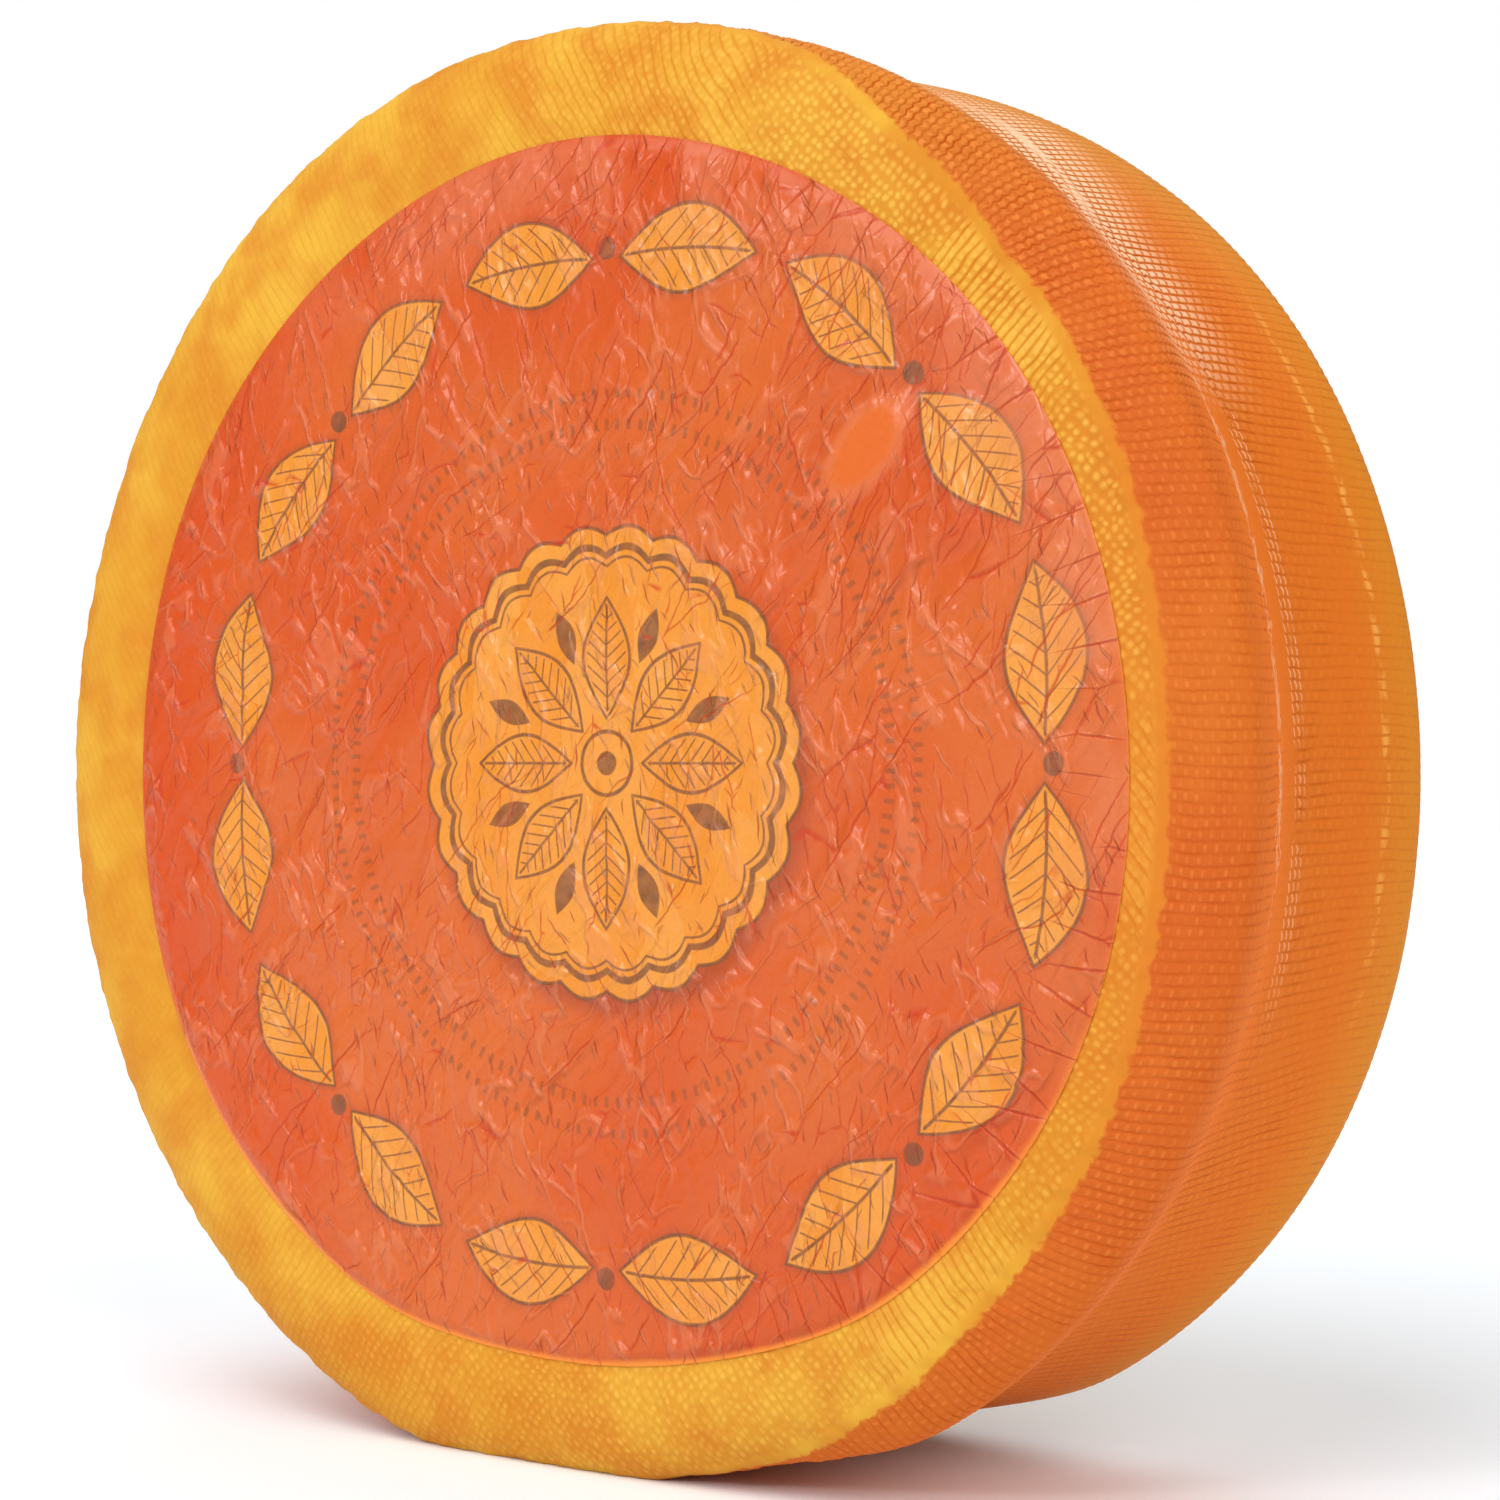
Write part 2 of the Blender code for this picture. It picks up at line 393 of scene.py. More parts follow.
def wheel_mesh():
    """The smooth closed wheel, with the cloth's rows and threads noted on every face corner."""
    rings = [ring_points(*station) for station in stations]
    mesh, corner_list = sew_rings("cheese_wheel_rind", rings)
    cloth = [(column * ROWS / stations[ring][1], stations[ring][2], 0.0) for ring, column in corner_list]
    layer = mesh.attributes.new("cloth", "FLOAT_VECTOR", "CORNER")
    layer.data.foreach_set("vector", np.array(cloth, dtype=np.float32).ravel())
    return mesh


rind_mesh = wheel_mesh()
print("wheel points:", len(rind_mesh.vertices), "faces:", len(rind_mesh.polygons))

# %% [markdown]
# ## Where the cloth left what
# On the ring of the front face the cloth's two sets of threads show as slanting ribs in some places,
# as round pimples in others, and hardly at all where the rind is leathery. One list goes round the ring
# and says how strong each is. Another says how far over the rim the yellow face reaches before the
# orange side begins: on the right the side begins early, elsewhere the face's cloth was folded over the
# rim. A third goes round the side: the strength of the weave, how much the waist was rubbed into thin
# streaks, and where a broad band was rubbed smooth and gets a painted sheen. All are kept on the points.

# %% Weights on the points
RING_STORY = (
    # angle, ribs of the steep thread, ribs of the flat thread, pimples, leather
    (0.0, 0.25, 0.10, 0.60, 0.2),
    (30.0, 0.30, 0.05, 0.55, 0.0),
    (37.0, 0.70, 0.00, 0.15, 0.0),
    (50.0, 0.65, 0.00, 0.25, 0.0),
    (56.0, 0.30, 0.00, 0.60, 0.0),
    (74.0, 0.35, 0.00, 0.55, 0.0),
    (80.0, 0.50, 0.00, 0.15, 0.0),
    (93.0, 0.45, 0.00, 0.25, 0.0),
    (98.0, 0.15, 0.00, 0.85, 0.0),
    (104.0, 0.05, 0.10, 1.00, 0.0),
    (118.0, 0.05, 0.35, 1.00, 0.0),
    (123.0, 0.00, 1.10, 0.22, 0.0),
    (136.0, 0.00, 1.05, 0.22, 0.0),
    (139.0, 0.05, 0.10, 1.10, 0.0),
    (155.0, 0.10, 0.00, 1.05, 0.1),
    (162.0, 0.75, 0.00, 0.25, 0.2),
    (180.0, 0.60, 0.00, 0.20, 0.5),
    (192.0, 0.34, 0.00, 0.15, 0.9),
    (250.0, 0.24, 0.00, 0.05, 1.0),
    (280.0, 0.26, 0.05, 0.05, 1.0),
    (310.0, 0.05, 0.25, 0.10, 0.8),
    (345.0, 0.05, 0.40, 0.30, 0.4),
    (360.0, 0.25, 0.10, 0.60, 0.2),
)
BACK_RING = (0.45, 0.30, 0.45, 0.4)
BORDER_STORY = (
    # angle, degrees of the rim's rounding where face and side meet
    (0.0, 84.0), (10.0, 84.0), (20.0, 73.0), (30.0, 43.5), (40.0, 33.0), (50.0, 30.0), (62.0, 29.5),
    (75.0, 25.5), (92.0, 24.5), (104.0, 26.5), (112.0, 29.0), (118.0, 28.0), (124.0, 30.0),
    (132.0, 28.5), (140.0, 36.0), (146.0, 40.0), (151.0, 50.0), (158.0, 68.0), (167.0, 83.0),
    (180.0, 88.0), (360.0, 84.0),
)
SIDE_STORY = (
    # angle, strength of the weave, rubbed streaks at the waist, broad polished band with painted sheen at
    # the waist
    (0.0, 0.70, 0.0, 0.0),
    (50.0, 0.75, 0.0, 0.0),
    (68.0, 0.70, 0.0, 0.0),
    (78.0, 0.60, 0.8, 0.0),
    (108.0, 0.60, 1.0, 0.0),
    (116.0, 0.80, 1.0, 0.0),
    (124.0, 0.95, 0.6, 0.8),
    (132.0, 1.00, 0.2, 1.0),
    (148.0, 1.10, 0.0, 1.0),
    (160.0, 1.10, 0.0, 0.5),
    (175.0, 1.00, 0.0, 0.0),
    (200.0, 0.85, 0.0, 0.0),
    (360.0, 0.70, 0.0, 0.0),
)


def note_vectors(mesh, name, values):
    """Keeps one vector on each point under a name."""
    layer = mesh.attributes.new(name, "FLOAT_VECTOR", "POINT")
    layer.data.foreach_set("vector", values.astype(np.float32).ravel())


def note_weights(mesh):
    """Keeps on each point the cloth's weights and its distances, in mm, from border and waist."""
    place = np.empty(len(mesh.vertices) * 3, dtype=np.float32)
    mesh.vertices.foreach_get("co", place)
    place = place.reshape(-1, 3)
    angle = np.degrees(np.arctan2(place[:, 0], CENTRE_HEIGHT - place[:, 2])) % 360.0
    ring, border, side = (np.array(story) for story in (RING_STORY, BORDER_STORY, SIDE_STORY))
    face_weights = np.stack([np.interp(angle, ring[:, 0], ring[:, column]) for column in range(1, 5)], 1)
    face_weights[place[:, 1] > FACE_Y + THICKNESS / 2] = BACK_RING
    side_weights = np.stack([np.interp(angle, side[:, 0], side[:, column]) for column in range(1, 4)], 1)
    path = np.concatenate([np.full(columns, path) for path, columns, _ in stations])
    front_border = rim_path(np.interp(angle, border[:, 0], border[:, 1]))
    inside = np.minimum(path - front_border, BACK_BORDER - path) * 1000
    note_vectors(mesh, "press", face_weights[:, :3])
    note_vectors(mesh, "section", np.stack([inside, (path - WAIST_PATH) * 1000, face_weights[:, 3]], 1))
    note_vectors(mesh, "side", side_weights)
    return inside


border_distance = note_weights(rind_mesh)
print("points on the side:", int((border_distance > 0).sum()))

# %% [markdown]
# ## The imprint as one rule
# The relief could be sculpted or painted, but a pressed cloth follows a rule, so the rule is written
# once as nodes. Geometry Nodes use it to move the points, and the material uses the very same nodes
# for colour in the grooves and for the finest shading, so shape and colour always agree.

# %% Values the rule reads
def surface_value(tree, name):
    """The vector that a piece's points or corners hold under a name, in either kind of tree."""
    if tree.type == "GEOMETRY":
        kind = ("GeometryNodeInputNamedAttribute", {"data_type": "FLOAT_VECTOR"})
        return add_node(tree, kind, name).outputs["Attribute"]
    return add_node(tree, ("ShaderNodeAttribute", {"attribute_name": name})).outputs["Vector"]


def place_mm(tree):
    """Place on the piece in millimetres, in either kind of tree."""
    if tree.type == "GEOMETRY":
        place = add_node(tree, ("GeometryNodeInputPosition", {}))
    else:
        place = add_node(tree, ("ShaderNodeTexCoord", {})).outputs["Object"]
    return add_node(tree, VECTOR_SCALE, place, 1000.0)


def flat(tree, place):
    """Across and up of a place as a flat place, because flat patterns are much quicker to shade."""
    sides = add_node(tree, SPLIT, place)
    return add_node(tree, JOIN, sides.outputs["X"], sides.outputs["Z"], 0.0)


def product(tree, first, *others):
    """Several fields and numbers multiplied."""
    for other in others:
        first = add_node(tree, MULTIPLY, first, other)
    return first


def paint(tree, colour, *layers):
    """Lays colours over a colour, each (share, colour) in its turn."""
    for share, over in layers:
        colour = add_node(tree, COLOUR_MIX, share, colour, over)
    return colour


print("rules read: place, cloth, section, press and side")

# %% [markdown]
# ## The weave of the side
# A row is a rod along the axis with a narrow groove on each side. Threads cross it, and in every other
# row they are half a step on, as bricks are, so each row is a line of short blocks. Where the cloth lay
# loose, a thinner gap between the strands of a thread shows too. It lies halfway between two rings of
# points, so it is left to the shading.

# %% Weave rule, in millimetres
ROW_RELIEF = 0.24             # depth of the groove between two rows
BLOCK_SHARE = 0.46            # how much of that depth a gap between two blocks of a row has
STRAND_SHARE = 0.42           # the same for the thinner gap between the strands of loose cloth


def weave_height(tree, rows, threads, loose):
    """The woven relief of the side: 0 in the grooves and 1 on the blocks."""
    row_sine = add_node(tree, SINE, product(tree, rows, math.pi))
    rod = add_node(tree, SOFT_STEP, add_node(tree, ABSOLUTE, row_sine), -0.12, 0.85)
    thread_wave = add_node(tree, COSINE, product(tree, threads, math.pi))
    block = add_node(tree, SOFT_STEP, product(tree, row_sine, thread_wave), -0.95, -0.1)
    gap = add_node(tree, MULTIPLY_ADD, block, BLOCK_SHARE, 1.0 - BLOCK_SHARE)
    strand = add_node(tree, SOFT_STEP, add_node(tree, ABSOLUTE, thread_wave), 0.75, 0.0)
    strand = add_node(tree, MULTIPLY_ADD, product(tree, strand, loose), -STRAND_SHARE, 1.0)
    return product(tree, rod, gap, strand)


print("row relief in mm:", ROW_RELIEF)

# %% [markdown]
# ## Ribs, pimples and leather of the face
# Where the cloth lay flat its threads left slanting ribs with broad crests. Where it pulled away, only
# the crossings left their mark, as round pimples of uneven size. Leathery places have a soft grain.

# %% Face rule, in millimetres
STEEP_TURN = math.radians(33.0)      # the steep ribs run this far from upright on the front face
FLAT_TURN = math.radians(47.0)       # the flat ribs run this far above level
STEEP_PITCH = 1.50                   # spacing of the steep ribs
FLAT_PITCH = 1.35                    # spacing of the flat ribs
RIB_RELIEF = 0.15
PIMPLE_RELIEF = 0.20
PIMPLE_SPACING = 1.36
LEATHER_RELIEF = 0.10


def face_ribs(tree, place, turn, axis, pitch):
    """1 on the broad crests of slanting ribs and 0 in their narrow grooves."""
    turned = add_node(tree, SPLIT, add_node(tree, TURN, place, Angle=turn))
    wave = add_node(tree, SINE, product(tree, turned.outputs[axis], math.pi / pitch))
    return add_node(tree, SOFT_STEP, add_node(tree, ABSOLUTE, wave), 0.0, 0.65)


def face_pimples(tree, place):
    """1 on top of each pimple, 0 between pimples; some are smaller and fainter."""
    turned = add_node(tree, TURN, place, Angle=FLAT_TURN)
    cells = add_node(tree, VECTOR_SCALE, flat(tree, turned), 1.0 / PIMPLE_SPACING)
    cell = add_node(tree, CELLS, cells, Scale=1.0, Randomness=0.48)
    size = add_node(tree, SPLIT, cell.outputs["Color"])
    reach = add_node(tree, MULTIPLY_ADD, size.outputs["X"], 0.14, 0.46)
    inner = add_node(tree, MULTIPLY, reach, 0.15)
    offset = add_node(tree, VECTOR_SUBTRACT, cells, cell.outputs["Position"])
    top = add_node(tree, SOFT_STEP, add_node(tree, VECTOR_LENGTH, offset), reach, inner)
    strength = add_node(tree, MULTIPLY_ADD, size.outputs["Y"], 0.50, 0.50)
    return product(tree, top, strength)


def face_height(tree, place, press, leather):
    """Relief of the face, at most 0, with how far each place is a pimple and a furrow."""
    drift = add_node(tree, NOISE, Vector=place, Scale=0.045, Detail=1.0)
    jitter = add_node(tree, NOISE, Vector=place, Scale=0.30, Detail=0.0)
    moved = add_node(tree, VECTOR_MULTIPLY_ADD, drift.outputs["Color"], (5.0, 5.0, 5.0), place)
    moved = add_node(tree, VECTOR_MULTIPLY_ADD, jitter.outputs["Color"], (0.7, 0.7, 0.7), moved)
    weight = add_node(tree, SPLIT, press)
    uneven = add_node(tree, NOISE, Vector=place, Scale=0.28, Detail=2.0)
    uneven = add_node(tree, RANGE, uneven, 0.35, 0.65, 0.55, 1.15)
    steep = face_ribs(tree, moved, STEEP_TURN, "X", STEEP_PITCH)
    flat = face_ribs(tree, moved, FLAT_TURN, "Z", FLAT_PITCH)
    pimple = face_pimples(tree, moved)
    grain = add_node(tree, NOISE, Vector=place, Scale=0.75, Detail=2.0)
    furrow = product(tree, add_node(tree, SUBTRACT, 1.0, steep), weight.outputs["X"])
    in_flat = product(tree, add_node(tree, SUBTRACT, 1.0, flat), weight.outputs["Y"])
    furrow = product(tree, add_node(tree, ADD, furrow, in_flat), uneven)
    parts = (
        (steep, weight.outputs["X"], RIB_RELIEF),
        (flat, weight.outputs["Y"], RIB_RELIEF),
        (pimple, weight.outputs["Z"], PIMPLE_RELIEF),
        (grain, leather, LEATHER_RELIEF),
    )
    total = 0.0
    for crest, share, relief in parts:
        depth = add_node(tree, MULTIPLY, add_node(tree, SUBTRACT, crest, 1.0), relief)
        total = add_node(tree, MULTIPLY_ADD, product(tree, depth, uneven), share, total)
    return {"height": total, "pimple": pimple, "furrow": furrow, "weight": weight}


print("pitch of the ribs in mm:", STEEP_PITCH, FLAT_PITCH)

# %% [markdown]
# ## The waist and the whole imprint
# Round the waist the cloth was pulled tight and rubbed. It left one ragged line of two strands in front
# of a smooth groove, and three lines of short dashes behind it, one dash for each row. A line of fat
# beads stands on the rear rim. Toward the top the rind was polished in a broad band that moves back
# across the side as it rises, and along its middle the weave is rubbed away. The whole imprint adds
# these to the weave and the face, each where it belongs.

# %% Rule of the whole imprint, in millimetres from the waist
RAGGED_LINE = -5.2
RAGGED_SWINGS = (9.0, -7.0)   # the ragged line is of two strands that swing apart and cross
DASH_LINES = (0.9, 2.2, 3.5)
DASH_SLANT = 0.4              # how far a dash leans over the width of its row
SMOOTH_MIDDLE = -1.6
SMOOTH_HALF = 2.4
SHINE_RISE = (178.0, 200.0)   # between these heights the shine's middle moves back across the side
SHINE_MIDDLE = (0.0, 15.5)    # from the first of these places to the second
STRIPE_RISE = (176.0, 186.0)  # over this height the weave fades away in the shine's middle
LINE_RELIEF = 0.10
REAR_BEADS = 24.0
REAR_BEAD_RELIEF = 0.12


def waist_lines(tree, across, rows):
    """Height shares of the ragged line, the dashes and the beads on the rear rim."""
    place = add_node(tree, JOIN, across, rows, 0.0)
    wobble = add_node(tree, NOISE, Vector=place, Scale=0.35, Detail=2.0)
    breadth = add_node(tree, NOISE, Vector=place, Scale=0.12, Detail=2.0)
    breadth = add_node(tree, RANGE, breadth, 0.35, 0.65, 0.2, 1.3)
    ragged = 0.0
    for swing in RAGGED_SWINGS:
        bent = add_node(tree, MULTIPLY_ADD, wobble, swing, across)
        off_line = add_node(tree, ABSOLUTE, add_node(tree, ADD, bent, -swing / 2 - RAGGED_LINE))
        ragged = add_node(tree, MAXIMUM, add_node(tree, SOFT_STEP, off_line, breadth, 0.0), ragged)
    along = add_node(tree, FRACTION, rows)
    lean = add_node(tree, MULTIPLY_ADD, along, DASH_SLANT, across)
    rod = add_node(tree, ABSOLUTE, add_node(tree, SINE, product(tree, rows, math.pi)))
    rod = add_node(tree, SOFT_STEP, rod, 0.12, 0.6)
    dashes = 0.0
    for distance in DASH_LINES:
        away = add_node(tree, ABSOLUTE, add_node(tree, ADD, lean, -distance - DASH_SLANT / 2))
        dashes = add_node(tree, ADD, add_node(tree, SOFT_STEP, away, 0.32, 0.05), dashes)
    beads = add_node(tree, ABSOLUTE, add_node(tree, ADD, across, -REAR_BEADS))
    beads = add_node(tree, SOFT_STEP, beads, 1.4, 0.2)
    size = add_node(tree, NOISE, Vector=place, Scale=0.45, Detail=1.0)
    size = add_node(tree, SOFT_STEP, size, 0.40, 0.62)
    return ragged, product(tree, dashes, rod), product(tree, beads, rod, size)


def polished_band(tree, place, across, side_weight):
    """How far a place lies behind the polished band's middle, and the stripe rubbed along it."""
    rise = add_node(tree, SPLIT, place).outputs["Z"]
    middle = add_node(tree, RANGE, rise, *SHINE_RISE, *SHINE_MIDDLE)
    from_shine = add_node(tree, SUBTRACT, across, middle)
    stripe = add_node(tree, SOFT_STEP, add_node(tree, ABSOLUTE, from_shine), 1.9, 0.6)
    high = add_node(tree, SOFT_STEP, rise, *STRIPE_RISE)
    return from_shine, product(tree, stripe, side_weight.outputs["Z"], high)


def rind_height(tree):
    """Height of the whole imprint in mm, and the fields that the colour also follows."""
    place = place_mm(tree)
    cloth = add_node(tree, SPLIT, surface_value(tree, "cloth"))
    section = add_node(tree, SPLIT, surface_value(tree, "section"))
    side_weight = add_node(tree, SPLIT, surface_value(tree, "side"))
    border, across, leather = (section.outputs[axis] for axis in ("X", "Y", "Z"))
    rows = cloth.outputs["X"]
    side = add_node(tree, SOFT_STEP, border, -0.5, 0.9)
    face = add_node(tree, SOFT_STEP, border, -1.0, -2.8)
    off_groove = add_node(tree, ABSOLUTE, add_node(tree, SUBTRACT, across, SMOOTH_MIDDLE))
    smooth = add_node(tree, SOFT_STEP, off_groove, SMOOTH_HALF + 0.8, SMOOTH_HALF - 0.6)
    rough = add_node(tree, SUBTRACT, 1.0, product(tree, smooth, side_weight.outputs["Y"]))
    from_shine, stripe = polished_band(tree, place, across, side_weight)
    rough = product(tree, rough, add_node(tree, MULTIPLY_ADD, stripe, -0.8, 1.0))
    loose = add_node(tree, RANGE, side_weight.outputs["X"], 0.65, 0.95, 1.0, 0.0)
    weave = weave_height(tree, rows, cloth.outputs["Y"], loose)
    patch = add_node(tree, NOISE, Vector=place, Scale=0.07, Detail=2.0)
    patch = add_node(tree, RANGE, patch, 0.3, 0.7, 0.55, 1.2)
    faded = add_node(tree, RANGE, across, 6.0, 20.0, 1.0, 0.6)
    strength = product(tree, patch, side_weight.outputs["X"], rough, side, faded)
    depth = add_node(tree, MULTIPLY, add_node(tree, SUBTRACT, weave, 1.0), ROW_RELIEF)
    on_face = face_height(tree, place, surface_value(tree, "press"), leather)
    total = add_node(tree, MULTIPLY_ADD, on_face["height"], face, product(tree, depth, strength))
    ragged, dashes, beads = waist_lines(tree, across, rows)
    rubbed = product(tree, add_node(tree, ADD, ragged, dashes), side_weight.outputs["Y"])
    beads = product(tree, beads, side_weight.outputs["Y"])
    total = add_node(tree, MULTIPLY_ADD, rubbed, LINE_RELIEF, total)
    total = add_node(tree, MULTIPLY_ADD, beads, REAR_BEAD_RELIEF, total)
    return on_face | {
        "height": total, "weave": weave, "face": face, "rubbed": rubbed, "beads": beads, "place": place,
        "border": border, "across": across, "rows": rows, "strength": strength,
        "shine": side_weight.outputs["Z"], "from_shine": from_shine, "stripe": stripe,
    }


print("lines beside the waist:", 1 + len(DASH_LINES))

# %% [markdown]
# ## Moving the points
# The tree reads the rule, adds a slow unevenness of the cheese itself and the knuckles that the folds
# of the cloth left on both rims, and moves every point along its normal. The wheel is soft, so what
# would sink into the floor is pressed flat on it.

# %% The imprint tree
UNEVEN_RELIEF = 0.16
KNUCKLE_RELIEF = 0.32         # height of the knuckles on the rims, in mm
KNUCKLE_REACH = 7.0           # how far from the rim's border they go, in mm


def start_tree(name, inputs):
    """A new geometry tree with named inputs. inputs is {name: (socket type, default)}."""
    tree = bpy.data.node_groups.new(name, "GeometryNodeTree")
    tree.interface.new_socket("Geometry", in_out="INPUT", socket_type="NodeSocketGeometry")
    for label, (socket_type, default) in inputs.items():
        socket = tree.interface.new_socket(label, in_out="INPUT", socket_type=socket_type)
        if default is not None:
            socket.default_value = default
    tree.interface.new_socket("Geometry", in_out="OUTPUT", socket_type="NodeSocketGeometry")
    return tree, add_node(tree, ("NodeGroupInput", {}))


def end_tree(tree, geometry, material):
    """Closes a geometry tree: smooth shading, instances made real, then the material."""
    smooth = add_node(tree, ("GeometryNodeSetShadeSmooth", {}), geometry)
    real = add_node(tree, ("GeometryNodeRealizeInstances", {}), smooth)
    dressed = add_node(tree, ("GeometryNodeSetMaterial", {}), Geometry=real, Material=material)
    add_node(tree, ("NodeGroupOutput", {}), dressed)


def imprint_tree():
    tree, given = start_tree("cloth_imprint", {
        "Relief": ("NodeSocketFloat", 1.0),
        "Unevenness": ("NodeSocketFloat", UNEVEN_RELIEF),
        "Seed": ("NodeSocketFloat", 0.0),
        "Material": ("NodeSocketMaterial", None),
    })
    fields = rind_height(tree)
    noise = ("ShaderNodeTexNoise", {"noise_dimensions": "4D"})
    slow = add_node(tree, noise, Vector=fields["place"], W=given.outputs["Seed"], Scale=0.055, Detail=2.0)
    sunk = product(tree, add_node(tree, SUBTRACT, slow, 1.0), given.outputs["Unevenness"])
    knuckle = add_node(tree, NOISE, Vector=fields["place"], Scale=0.26, Detail=2.5)
    knuckle = add_node(tree, RANGE, knuckle, 0.42, 0.62, -KNUCKLE_RELIEF, 0.0)
    off_rim = add_node(tree, ABSOLUTE, fields["border"])
    sunk = add_node(
        tree, MULTIPLY_ADD, knuckle, add_node(tree, SOFT_STEP, off_rim, KNUCKLE_REACH, 2.0), sunk,
    )
    height = add_node(tree, MULTIPLY_ADD, fields["height"], given.outputs["Relief"], sunk)
    metres = add_node(tree, MULTIPLY, height, 0.001)
    shift = add_node(tree, VECTOR_SCALE, add_node(tree, ("GeometryNodeInputNormal", {})), metres)
    moved = add_node(tree, VECTOR_ADD, add_node(tree, ("GeometryNodeInputPosition", {})), shift)
    on_floor = add_node(tree, VECTOR_MAXIMUM, moved, (-1.0, -1.0, 0.0))
    set_position = ("GeometryNodeSetPosition", {})
    settled = add_node(tree, set_position, Geometry=given.outputs["Geometry"], Position=on_floor)
    end_tree(tree, settled, given.outputs["Material"])
    return tree


def run_tree(piece, tree, values):
    """Runs a tree on a piece, its inputs set by socket identifier, and keeps the plain mesh."""
    modifier = piece.modifiers.new(tree.name, "NODES")
    modifier.node_group = tree
    for socket in tree.interface.items_tree:
        if socket.in_out == "INPUT" and socket.name in values:
            modifier[socket.identifier] = values[socket.name]
    bpy.context.view_layer.update()
    evaluated = piece.evaluated_get(bpy.context.evaluated_depsgraph_get())
    mesh = bpy.data.meshes.new_from_object(evaluated)
    piece.modifiers.remove(modifier)
    rough_mesh = piece.data
    piece.data = mesh
    bpy.data.meshes.remove(rough_mesh)
    mesh.name = piece.name
    return mesh


def add_piece(name, mesh):
    piece = bpy.data.objects.new(name, mesh)
    bpy.context.scene.collection.objects.link(piece)
    return piece


def report_piece(piece):
    """Prints a piece's triangles and its volume, which is above 0 when its faces point outwards."""
    piece.data.calc_loop_triangles()
    place = np.empty(len(piece.data.vertices) * 3)
    piece.data.vertices.foreach_get("co", place)
    corners = np.empty(len(piece.data.loop_triangles) * 3, dtype=np.int32)
    piece.data.loop_triangles.foreach_get("vertices", corners)
    first, second, third = place.reshape(-1, 3)[corners.reshape(-1, 3)].transpose(1, 0, 2)
    volume = float((first * np.cross(second, third)).sum()) / 6
    print(piece.name, "triangles:", len(piece.data.loop_triangles), "cubic cm:", round(volume * 1e6, 2))


print("imprint tree ready")

# %% [markdown]
# ## The rind's finish
# The rind is washed and coloured with annatto, so it is a strong yellow-orange on the faces, where it
# is thin and waxy, and a deeper orange on the side. The face's colour turns to orange at the right,
# where the side's cloth began early. Light enters the rind a little way, which softens the weave.
# Grooves are painted darker as shade, and crests, pimple tops and the beads on the rear rim are
# painted paler as highlights. The lines rubbed at the waist and the polished band toward the top
# are less rough and carry a painted pale sheen, and elsewhere the rind is dull.

# %% Annatto rind material
RIND_FACE = ("#ca8a29", "#d5a439", "#c47524")
RIND_RIGHT = "#c97527"
RIND_PIMPLY = "#c27124"
RIND_SIDE = ("#c05b23", "#c46625")
RIND_WAIST = "#e77324"
RIND_BEHIND = "#d66d1f"
RIND_REAR = "#d48023"
RIND_TOP = "#c2852e"
# Groove colours below are painted shade; crest, bead, rubbed-line and shine colours are painted highlights.
FACE_GROOVE_SHADE = "#c46e1c"
SIDE_GROOVE_SHADE = "#af4508"
FACE_CREST_HIGHLIGHT = "#e3b34f"
SIDE_CREST_HIGHLIGHT = "#df8941"
REAR_BEAD_HIGHLIGHT = "#f0ae52"
RUBBED_LINE_HIGHLIGHT = "#efb184"
SHEEN_HIGHLIGHT = "#f5cfaa"


def face_colour(tree, fields, slow):
    """Colour of the faces: blotched yellow, orange at the right, painted shade in furrows, painted
    highlights on crests.
    """
    place = fields["place"]
    weight = fields["weight"]
    blotch = add_node(tree, NOISE, Vector=place, Scale=0.10, Detail=2.0)
    blotch = product(tree, add_node(tree, SOFT_STEP, blotch, 0.36, 0.70), 0.7)
    right = add_node(tree, SOFT_STEP, add_node(tree, SPLIT, place).outputs["X"], 74.0, 102.0)
    ribs = add_node(tree, ADD, weight.outputs["X"], weight.outputs["Y"])
    shallow = add_node(tree, SOFT_STEP, fields["height"], -0.06, -0.01)
    # painted highlight on the rib crests, and on the pimple tops in the next line
    crest = product(tree, shallow, ribs, fields["face"], 0.45)
    pimple = product(tree, fields["pimple"], weight.outputs["Z"], fields["face"], 0.50)
    between = product(tree, add_node(tree, SUBTRACT, 1.0, fields["pimple"]), weight.outputs["Z"], 0.45)
    return paint(
        tree, linear(RIND_FACE[0]),
        (slow, linear(RIND_FACE[1])),
        (blotch, linear(RIND_FACE[2])),
        (right, linear(RIND_RIGHT)),
        (product(tree, between, fields["face"]), linear(RIND_PIMPLY)),
        # painted shade in the furrows of the ribs
        (product(tree, fields["furrow"], fields["face"], 0.75), linear(FACE_GROOVE_SHADE)),
        # painted highlights on the rib crests and the pimple tops
        (crest, linear(FACE_CREST_HIGHLIGHT)),
        (pimple, linear(FACE_CREST_HIGHLIGHT)),
    )


def sheen_highlight_share(tree, fields):
    """Painted sheen of the polished band: pale on top of its blocks and all along its middle stripe."""
    streak_place = add_node(tree, JOIN, fields["across"], product(tree, fields["rows"], 0.12), 0.0)
    streaks = add_node(tree, NOISE, Vector=streak_place, Scale=1.2, Detail=3.0)
    lit = product(
        tree, add_node(tree, SOFT_STEP, fields["from_shine"], 15.0, 3.0), fields["shine"],
        add_node(tree, SOFT_STEP, fields["from_shine"], -19.0, -5.0),
        add_node(tree, SOFT_STEP, fields["weave"], 0.55, 0.95),
    )
    stripe = product(tree, fields["stripe"], add_node(tree, SOFT_STEP, streaks, 0.34, 0.58))
    return add_node(tree, MAXIMUM, lit, stripe)


